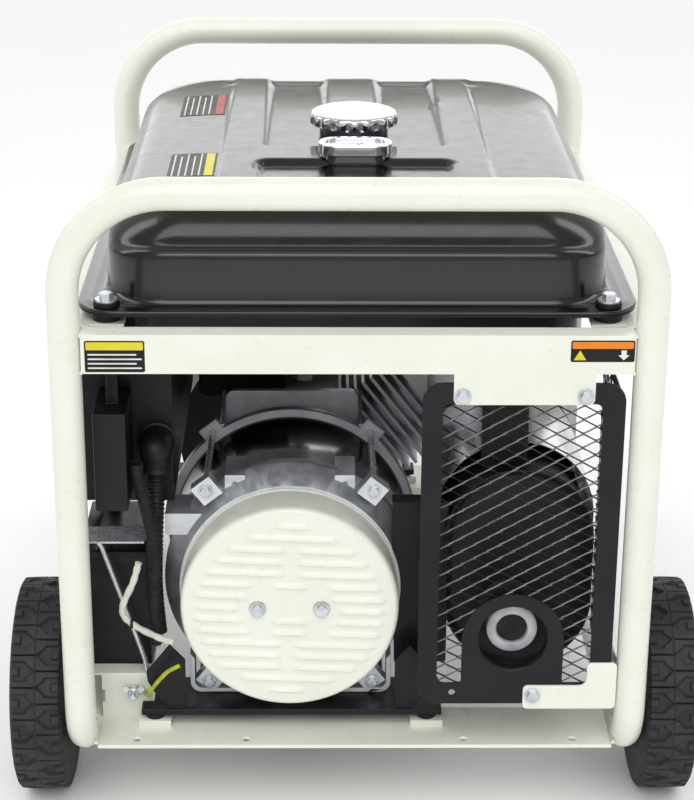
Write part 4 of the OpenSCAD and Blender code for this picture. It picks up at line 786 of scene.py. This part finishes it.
def build_gauge():
    """Dial under the gauge's glass: a scale of plain ticks and a needle."""
    lens = box_of("gauge_lens")
    sh = Shape()
    z = lens.z1 + 0.05
    for i in range(9):
        x = lens.cx - 20 + i * 5
        tall = 4 if i % 4 == 0 else 2.2
        sh.box((x - 0.4, x + 0.4), (lens.cy + 2, lens.cy + 2 + tall), (z, z + 0.15))
    sh.slot = 1
    needle = [(x, y + lens.cy) for x, y in ((-0.9, -8), (0.9, -8), (9, 6), (8.2, 6.4))]
    sh.prism(needle, along_z, z, z + 0.2)
    sh.add("gauge_dial_marks", "frame", ["white_plastic", "red_plastic"], slot="white_plastic")


build_gauge()


# ---------- Alternator ----------

def build_cover():
    """Pressed end cover: domed rim, two screw dimples and fifteen rows of raised louvres."""
    c = box_of("alternator_cover")
    r0 = (c.x1 - c.x0) / 2
    tilt = math.radians(2.2)
    rows = {7: [(-20, 20)], 6: [(-48, 48)], 5: [(-68, -5), (5, 68)], 4: [(-81, -5), (5, 81)],
            3: [(-90, -5), (5, 90)], 2: [(-96, -36), (-20, 20), (36, 96)], 1: [(-100, -41), (41, 100)],
            0: [(-100, -50), (50, 100)], -1: [(-100, -46), (-20, 20), (46, 100)],
            -2: [(-97, -38), (-20, 20), (38, 97)], -3: [(-91, -5), (5, 91)], -4: [(-85, -5), (5, 85)],
            -5: [(-75, -5), (5, 75)], -6: [(-50, 50)], -7: [(-20, 20)]}
    pitch = 13.35

    def relief(x, z):
        u = x * math.cos(tilt) - z * math.sin(tilt)
        v = x * math.sin(tilt) + z * math.cos(tilt)
        row = round((v + 2.6) / pitch)
        out = 0.0
        for k in (row, row + 1):
            for a, b in rows.get(k, ()):
                edge = k * pitch - 2.6
                w = v - edge
                if not -0.9 <= w <= 8.5:
                    continue
                ends = smoothstep(a - 1, a + 9, u) * (1 - smoothstep(b - 9, b + 1, u))
                out = max(out, 2.6 * ends * smoothstep(-0.9, 0.1, w) * (1 - smoothstep(0.6, 8.3, w)))
        for s in (-1, 1):
            d = math.hypot(x - s * 33, z)
            out -= 2.2 * (1 - smoothstep(6.2, 9.8, d))
        return out

    face_r = r0 - 5.5
    cell = 1.15
    n = int(face_r / cell) + 1
    index, sh = {}, Shape()
    for i in range(-n, n + 1):
        for j in range(-n, n + 1):
            # squares mapped to a disc keep the rim round
            x, z = i * cell, j * cell
            far = max(abs(x), abs(z))
            if far > face_r * 0.72:
                d = math.hypot(x, z) or 1
                k = (far / face_r - 0.72) / 0.28
                k = min(max(k, 0), 1) ** 1.5
                x, z = x * (1 - k) + x / d * far * k, z * (1 - k) + z / d * far * k
            if math.hypot(x, z) <= face_r + 1e-6:
                index[i, j] = len(sh.v)
                y = 1.2 + 1.1 * (math.hypot(x, z) / face_r) ** 4 - relief(x, z)
                sh.v.append((c.cx + x, c.y0 + 1.8 + y, c.cz + z))
    for (i, j), at in index.items():
        q = [index.get(p) for p in ((i + 1, j), (i + 1, j + 1), (i, j + 1))]
        if None not in q:
            sh.face(at, *q)
    # rim: from under the face's edge, round the corner and back along the side
    sh.turn([(face_r - 3, 7), (face_r - 1.4, 4.4), (face_r, 4.05), (face_r + 1.6, 4.4), (r0 - 2.4, 5.4),
             (r0 - 1.2, 7), (r0 - 0.5, 9), (r0 - 0.2, 12), (r0 - 0.2, c.y1 - c.y0 - 3), (r0 + 0.8, c.y1 - c.y0 - 2.2),
             (r0 + 0.8, c.y1 - c.y0 - 0.6), (r0 - 0.2, c.y1 - c.y0),
             (r0 - 2, c.y1 - c.y0), (r0 - 2, 10), (face_r - 2, 5)], (c.cx, c.y0, c.cz), "y", 144)
    sh.add("alternator_cover_pressed", "frame", "cream_paint", replaces="alternator_cover", smooth=44)


build_cover()


def build_cover_screws():
    c = box_of("alternator_cover")
    sh = Shape()
    for s in (-1, 1):
        x = c.cx + s * 33
        sh.turn([(0, 3.4), (8.0, 3.4), (8.0, 2.5), (6.6, 2.0), (0, 2.0)], (x, c.y0, c.cz), "y", 32)
        sh.turn([(0, 2.4), (5.2, 2.4), (5.2, -0.4), (4.4, -1.6), (2.4, -2.0), (2.2, -0.6), (0, -0.6)],
                (x, c.y0, c.cz), "y", 32)
        for a in (0.5, 0.5 + math.pi / 2):
            dx, dz = 3.4 * math.cos(a), 3.4 * math.sin(a)
            nx, nz = -0.5 * math.sin(a), 0.5 * math.cos(a)
            sh.prism([(x - dx - nx, c.cz - dz - nz), (x + dx - nx, c.cz + dz - nz),
                      (x + dx + nx, c.cz + dz + nz), (x - dx + nx, c.cz - dz + nz)], along_y, c.y0 - 2.15, c.y0 - 1.3)
    sh.add("cover_screws", "frame", "zinc", bevel=0.25)


build_cover_screws()


def build_stator():
    c = box_of("stator")
    r = (c.x1 - c.x0) / 2
    y = c.y1 - c.y0
    sh = Shape()
    sh.turn([(96, 0), (r - 1.2, 0), (r, 1), (r, 5), (r - 0.7, 6), (r - 0.7, y - 6), (r, y - 5), (r, y - 1),
             (r - 1.2, y), (96, y)], (c.cx, c.y0, c.cz), "y", 144)
    sh.add("stator_can", "frame", "gloss_black", replaces="stator")
    # laminations and varnished end windings inside the can
    sh = Shape()
    for k in range(24):
        y0 = 12 + k * (y - 24) / 24
        sh.turn([(70.5, y0), (95.8, y0), (95.8, y0 + 4.4), (70.5, y0 + 4.4)], (c.cx, c.y0, c.cz), "y", 72)
    sh.add("stator_laminations", "frame", "dark_steel")
    sh = Shape()
    for side in (4, y - 4):
        for k in range(36):
            a = 2 * math.pi * k / 36
            at = [spin(Vector((c.cx, c.y0, c.cz)), "y", 84 + 7 * math.cos(t), side + 5 * math.sin(t),
                       a + 0.10 * t / math.pi) for t in (2 * math.pi * j / 8 for j in range(9))]
            sh.tube(at, 3.0, 6)
    sh.add("stator_windings", "frame", MAT_COPPER, slot="red_plastic")


MAT_COPPER = surface("varnished_copper", srgb(96, 44, 22), srgb(150, 78, 38), (0.25, 0.4), metal=0.7,
                     grain=(700, 0.2, 0.0002), blotch=50)
build_stator()


# ---------- Exhaust ----------

def oval_outline(m, r_more, n=24):
    """Oval of the muffler, grown by r_more: (x, z) pairs."""
    r = (m.x1 - m.x0) / 2 + r_more
    top = m.top - (m.x1 - m.x0) / 2
    low = m.z0 + (m.x1 - m.x0) / 2
    return arc(m.cx, top, r, 0, 180, n) + arc(m.cx, low, r, 180, 360, n)


def build_muffler():
    b = box_of("muffler")
    spark = box_of("spark_arrestor")
    M = namedtuple("M", "x0 x1 cx z0 top y0 y1")
    width = 154
    m = M(b.cx - width / 2, b.cx + width / 2, b.cx, b.z0, b.z0 + 226, 60, b.y1)
    sh = Shape()
    prof = [(-46, 66), (-40, 64.6), (-30, 63.6), (-22, 63.4), (-16, 64), (-11, 65.6), (-7.5, 66), (-5, 64),
            (-3.4, 61.2), (-1.6, 60), (0, 60.8), (0.3, 63), (0, 65.4), (-2, 66.6), (-3.8, 68.5), (-4.4, 72),
            (-4.4, 110), (-5.6, 113), (-5.6, 119), (-4.4, 122), (-4.4, 228), (-5.6, 231), (-5.6, 237), (-4.4, 240),
            (-4.4, m.y1 - 8), (-2, m.y1 - 6.5), (0.2, m.y1 - 4), (0, m.y1 - 1), (-2, m.y1), (-5, m.y1 - 1),
            (-12, m.y1), (-46, m.y1 - 1)]
    sh.loft([[(x, y, z) for x, z in oval_outline(m, r)] for r, y in prof])
    # outlet stub with its drawn collar
    sh.turn([(31, 65), (30, 62.4), (27, 61), (22.5, 60), (20.2, 57), (20, 50), (20, spark.y1 - 1), (17.5, spark.y1 - 1),
             (17.5, 65)], (spark.cx, 0, spark.cz), "y", 64)
    # hanger strap with two stiffening ribs
    strap = rounded((m.cx - 40, m.cx + 8), (m.top - 12, b.z1), 6)
    sh.prism(strap, along_y, 94, 97)
    for x in (m.cx - 30, m.cx - 2):
        sh.prism(rounded((x - 3, x + 3), (m.top - 2, b.z1 - 8), 2.9), along_y, 92.6, 95)
    sh.add("muffler_barrel", "frame", MAT_HOT, slot="black_paint", replaces="muffler", smooth=40)
    # spark arrestor: pale ring round a fine screen
    sh = Shape()
    c = (spark.cx, 0, spark.cz)
    sh.turn([(15.6, spark.y0 + 3.5), (16, spark.y0 + 1.2), (17, spark.y0 + 0.2), (24.6, spark.y0),
             (25.8, spark.y0 + 0.8), (26, spark.y0 + 2), (26, spark.y1), (15.6, spark.y1)], c, "y", 72)
    sh.add("spark_arrestor_ring", "frame", MAT_SCALE, slot="zinc", replaces="spark_arrestor", smooth=40)
    sh = Shape()
    y = spark.y0 + 4
    for k in range(-9, 10):
        d = k * 1.7
        half = math.sqrt(max(16 ** 2 - d * d, 1))
        for across in (True, False):
            pts = [(t * half, 0.35 * math.sin(t * 17 + (0 if across else 3.1) + k * math.pi)) for t in
                   (j / 6 - 1 for j in range(13))]
            line = [(spark.cx + (p if across else d), y + w, spark.cz + (d if across else p)) for p, w in pts]
            sh.tube(line, 0.36, 5)
    sh.turn([(0, y + 2.5), (16, y + 2.5), (16, y + 3), (0, y + 3)], (spark.cx, 0, spark.cz), "y", 32)
    sh.add("spark_screen", "frame", "cast_iron")


MAT_HOT = surface("heat_paint", srgb(15, 15, 18), srgb(28, 28, 32), (0.4, 0.6), spec=0.3, grain=(700, 0.5, 0.0006),
                  blotch=36, ripple=(70, 0.25, 0.001))
MAT_SCALE = surface("outlet_steel", srgb(150, 150, 156), srgb(196, 196, 200), (0.4, 0.55), metal=0.35,
                    grain=(900, 0.4, 0.0003), blotch=60)
build_muffler()


def build_mesh():
    """Expanded metal: every strand is a slanted flat bar with a twist, thicker where strands meet."""
    guard = box_of("muffler_guard")
    mesh = box_of("guard_mesh")
    spark = box_of("spark_arrestor")
    wide, tall = 26.0, 15.0
    sh = Shape()

    def strand(p, q, out, flat, up_turn):
        """One strand from p to q in (u, v); out lifts its upper edge towards the viewer."""
        (u0, v0), (u1, v1) = p, q
        length = math.hypot(u1 - u0, v1 - v0)
        nu, nv = -(v1 - v0) / length, (u1 - u0) / length
        if nv < 0:
            nu, nv = -nu, -nv
        rings = []
        for t, w in ((-0.04, 1.05), (0.12, 0.5), (0.5, 0.42), (0.88, 0.5), (1.04, 1.05)):
            u, v = u0 + (u1 - u0) * t, v0 + (v1 - v0) * t
            lean = out * (2 * t - 1)
            rings.append([flat(u + nu * a * w, v + nv * a * w, lean + b)
                          for a, b in ((-1, 0.15), (-1, 0.75), (1, -0.15 - up_turn), (1, -0.75 - up_turn))])
        first = len(sh.slots)
        sh.loft(rings)
        # painted highlight: one face of each strand on the upward-running diagonal takes the bright strand material,
        # standing for light caught by the slanted strands
        if out > 0:
            for i in range(first + 1, len(sh.slots) - 2, 4):
                sh.slots[i] = 1

    def sheet(u_range, v_range, flat, keep):
        cols = int((u_range[1] - u_range[0]) / wide) + 2
        rowsn = int((v_range[1] - v_range[0]) / tall) + 2
        for i in range(-1, 2 * cols):
            for j in range(-1, rowsn):
                u = u_range[0] + i * wide / 2
                v = v_range[0] + (j + (0.5 if i % 2 else 0)) * tall
                for q in ((u + wide / 2, v + tall / 2), (u + wide / 2, v - tall / 2)):
                    mid = ((u + q[0]) / 2, (v + q[1]) / 2)
                    if (keep(*mid) and u_range[0] - 4 < mid[0] < u_range[1] + 4
                            and v_range[0] - 4 < mid[1] < v_range[1] + 4):
                        strand((u, v), q, 0.45 if q[1] > v else -0.45, flat, 0.5)

    y = mesh.y0 + 1.2
    hole = (spark.cx, guard.z0 + 73)
    sheet((guard.x0 + 16, guard.x1 - 18), (guard.z0 + 22, 486),
          lambda u, v, d: (u, y - d, v),
          lambda u, v: not (abs(u - hole[0]) < 46 and v < hole[1]) and math.hypot(u - hole[0], v - hole[1]) > 46)
    x = guard.x1 - 4.2
    sheet((guard.y0 + 18, guard.y1 - 16), (guard.z0 + 22, 478), lambda u, v, d: (x + d, u, v), lambda u, v: True)
    sh.add("guard_expanded_metal", "frame", ["black_paint", MAT_STRAND_HIGHLIGHT], replaces="guard_mesh", smooth=30)
    # rounded lip round the outlet hole
    sh = Shape()
    r = 36.5
    c = (spark.cx, guard.y0, spark.cz - 4)
    sh.turn([(r + 2.2, 0.1), (r + 1.2, -0.35), (r + 0.2, -0.1), (r - 0.7, 0.7), (r - 1.3, 2.2), (r - 1.5, 4),
             (r - 1.5, 11), (r - 0.2, 11), (r, 4), (r + 1, 2)], c, "y", 96)
    sh.add("guard_outlet_lip", "frame", "black_paint", smooth=50)


# painted highlight colour for the strands of one diagonal of the expanded metal
MAT_STRAND_HIGHLIGHT = surface("painted_strand_highlight", srgb(120, 120, 126), srgb(176, 176, 182), (0.25, 0.4), metal=0.6,
                     grain=(900, 0.2, 0.0002), blotch=60)
build_mesh()


# ---------- Wheels ----------

def build_tyre(node):
    """Tyre with house-shaped tread pockets that alternate across the centre line."""
    b = box_of(node)
    r0 = (b.z1 - b.z0) / 2
    half = (b.x1 - b.x0) / 2
    around, pockets = 588, 21
    depth = 3.4

    def mask(turn, w):
        side = 1 if w > 0 else -1
        a = abs(w)
        cell = (turn * pockets + (0.5 if side > 0 else 0)) % 1 - 0.5
        cut = 0.0
        width = 0.30 if a > 0.42 else 0.035 + 0.265 * max(a - 0.08, 0) / 0.34
        if a > 0.08 and abs(cell) < width:
            cut = 1.0
            if a > 0.6 and abs(cell) < 0.13:
                cut = 0.12
        opposite = abs(abs(cell) - 0.5)
        if opposite < 0.035 and a < 1.0:
            cut = max(cut, 0.8)
        if a < 0.02:
            cut = max(cut, 0.25)
        return cut

    section = [(60, -0.8), (66, -0.93), (78, -1.0), (92, -1.0), (100, -0.985), (105, -0.965), (108.5, -0.94),
               (111.5, -0.9), (113.2, -0.85)]
    k = r0 / 114.0
    line = [(r * k, w * half) for r, w in section]
    crown = [(r0 - 0.6 + 0.6 * math.cos(w * math.pi / 2), w * 0.82 * half) for w in (i / 16 - 1 for i in range(33))]
    line = line + crown + [(r, -w) for r, w in reversed(line)]
    rings = []
    for r, w in line:
        ring = []
        for i in range(around):
            turn = i / around
            cut = 0.0
            if r > 106 * k:
                cut = depth * mask(turn, max(min(w / half, 0.99), -0.99)) * smoothstep(104 * k, 109 * k, r)
            ring.append(spin(Vector((b.cx, b.cy, b.cz)), "x", r - cut, w, 2 * math.pi * turn))
        rings.append(ring)
    sh = Shape()
    sh.loft(rings, cap=(False, False))
    # bead seats close the tyre inside the rim
    final = len(sh.v) - around
    for i in range(around):
        j = (i + 1) % around
        sh.face(final + i, final + j, j, i)
    sh.add(node + "_treaded", BODY[node], "tyre", replaces=node, smooth=30)
    # raised rings on the sidewalls
    sh = Shape()
    for side in (-1, 1):
        for r in (70, 96):
            sh.turn([(r - 1.6, 0), (r - 1, side * 0.7), (r + 1, side * 0.7), (r + 1.6, 0)],
                    (b.cx + side * (half - 0.7), b.cy, b.cz), "x", 96)
    sh.add(node + "_sidewall_rings", BODY[node], "tyre", smooth=50)


build_tyre("left_tyre")
build_tyre("right_tyre")


# ---------- Stage ----------

def lamp(name, place, target, size, power):
    """Rectangular soft box at place, turned to target."""
    data = bpy.data.lights.new(name, "AREA")
    data.shape = "RECTANGLE"
    data.size, data.size_y = size
    data.energy = power
    ob = bpy.data.objects.new(name, data)
    ob.location = place
    ob.rotation_euler = (Vector(target) - Vector(place)).to_track_quat("-Z", "Y").to_euler()
    bpy.context.scene.collection.objects.link(ob)


# Brightness of the studio's white surroundings as the machine sees them
FLOOR_LEVEL, FRONT_AND_BACK, TOP, BACKDROP = 0.21, 0.30, 0.22, 1.5


def build_stage():
    me = bpy.data.meshes.new("floor")
    me.from_pydata([(-40, -12, 0), (40, -12, 0), (40, 80, 0), (-40, 80, 0)], [], [(0, 1, 2, 3)])
    me.materials.append(surface("floor_paper", (0.96, 0.96, 0.96), (0.98, 0.98, 0.98), (0.6, 0.7), spec=0.2,
                                grain=(300, 0.02, 0.0002), blotch=2))
    floor = bpy.data.objects.new("floor", me)
    bpy.context.scene.collection.objects.link(floor)
    floor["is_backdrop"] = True
    # plain white to the camera; light from it is dimmer at the sides than in front, behind and above
    world = bpy.data.worlds.new("studio")
    bpy.context.scene.world = world
    world.use_nodes = True
    t = world.node_tree
    t.nodes.clear()

    def add(kind, *values, link=()):
        node = t.nodes.new(kind)
        if values and isinstance(values[0], str):
            node.operation, values = values[0], values[1:]
        for i, v in enumerate(values):
            if v is not None:
                node.inputs[i].default_value = v
        for i, source in link:
            t.links.new(source, node.inputs[i])
        return node.outputs

    split = add("ShaderNodeSeparateXYZ", link=[(0, t.nodes.new("ShaderNodeTexCoord").outputs["Generated"])])
    ends = add("ShaderNodeMath", "ABSOLUTE", link=[(0, split[1])])[0]
    sky = add("ShaderNodeMath", "MAXIMUM", None, 0.0, link=[(0, split[2])])[0]
    low = add("ShaderNodeMath", "MULTIPLY_ADD", None, FRONT_AND_BACK, FLOOR_LEVEL, link=[(0, ends)])[0]
    rear = add("ShaderNodeMath", "MAXIMUM", None, 0.0, link=[(0, split[1])])[0]
    rear = add("ShaderNodeMath", "POWER", None, 4.0, link=[(0, rear)])[0]
    low = add("ShaderNodeMath", "MULTIPLY_ADD", None, BACKDROP, link=[(0, rear), (2, low)])[0]
    glow = add("ShaderNodeMath", "MULTIPLY_ADD", None, TOP, link=[(0, sky), (2, low)])[0]
    dim = add("ShaderNodeBackground", (1, 1, 1, 1), link=[(1, glow)])[0]
    white = add("ShaderNodeBackground", (1, 1, 1, 1), 1.0)[0]
    seen = t.nodes.new("ShaderNodeLightPath").outputs["Is Camera Ray"]
    both = add("ShaderNodeMixShader", link=[(0, seen), (1, dim), (2, white)])[0]
    add("ShaderNodeOutputWorld", link=[(0, both)])


build_stage()
lamp("front_box", (0, -3.6, 2.2), (0, 0, 0.4), (3.2, 1.8), 24)
lamp("left_top_box", (-2.3, 0.3, 2.3), (0, 0.2, 0.5), (0.7, 2.6), 16)
lamp("right_top_box", (2.3, 0.3, 2.3), (0, 0.2, 0.5), (0.7, 2.6), 16)
sun = bpy.data.lights.new("soft_sun", "SUN")
sun.energy = 1.25
sun.angle = 0.9
ob = bpy.data.objects.new("soft_sun", sun)
ob.rotation_euler = Vector((0.05, 0.62, -0.8)).to_track_quat("-Z", "Y").to_euler()
bpy.context.scene.collection.objects.link(ob)

camera = bpy.data.cameras.new("camera")
camera.sensor_width = 36
camera.lens = 94.616325
camera.clip_end = 60
view = bpy.data.objects.new("camera", camera)
bpy.context.scene.collection.objects.link(view)
bpy.context.scene.camera = view
pitch, yaw, roll = (math.radians(a) for a in (21.351, 0.862, 0.366))
forward = Vector((math.sin(yaw) * math.cos(pitch), math.cos(yaw) * math.cos(pitch), -math.sin(pitch)))
right = Vector((math.cos(yaw), -math.sin(yaw), 0))
up = right.cross(forward)
right, up = (math.cos(roll) * right + math.sin(roll) * up, math.cos(roll) * up - math.sin(roll) * right)
view.matrix_world = Matrix.Translation((-0.03948, -1.91186 + NEAR_Y * MM, 1.23365)) @ Matrix(
    (right, up, -forward)).transposed().to_4x4()

scene = bpy.context.scene
scene.view_settings.view_transform = "Standard"
scene.view_settings.look = "None"

low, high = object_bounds()
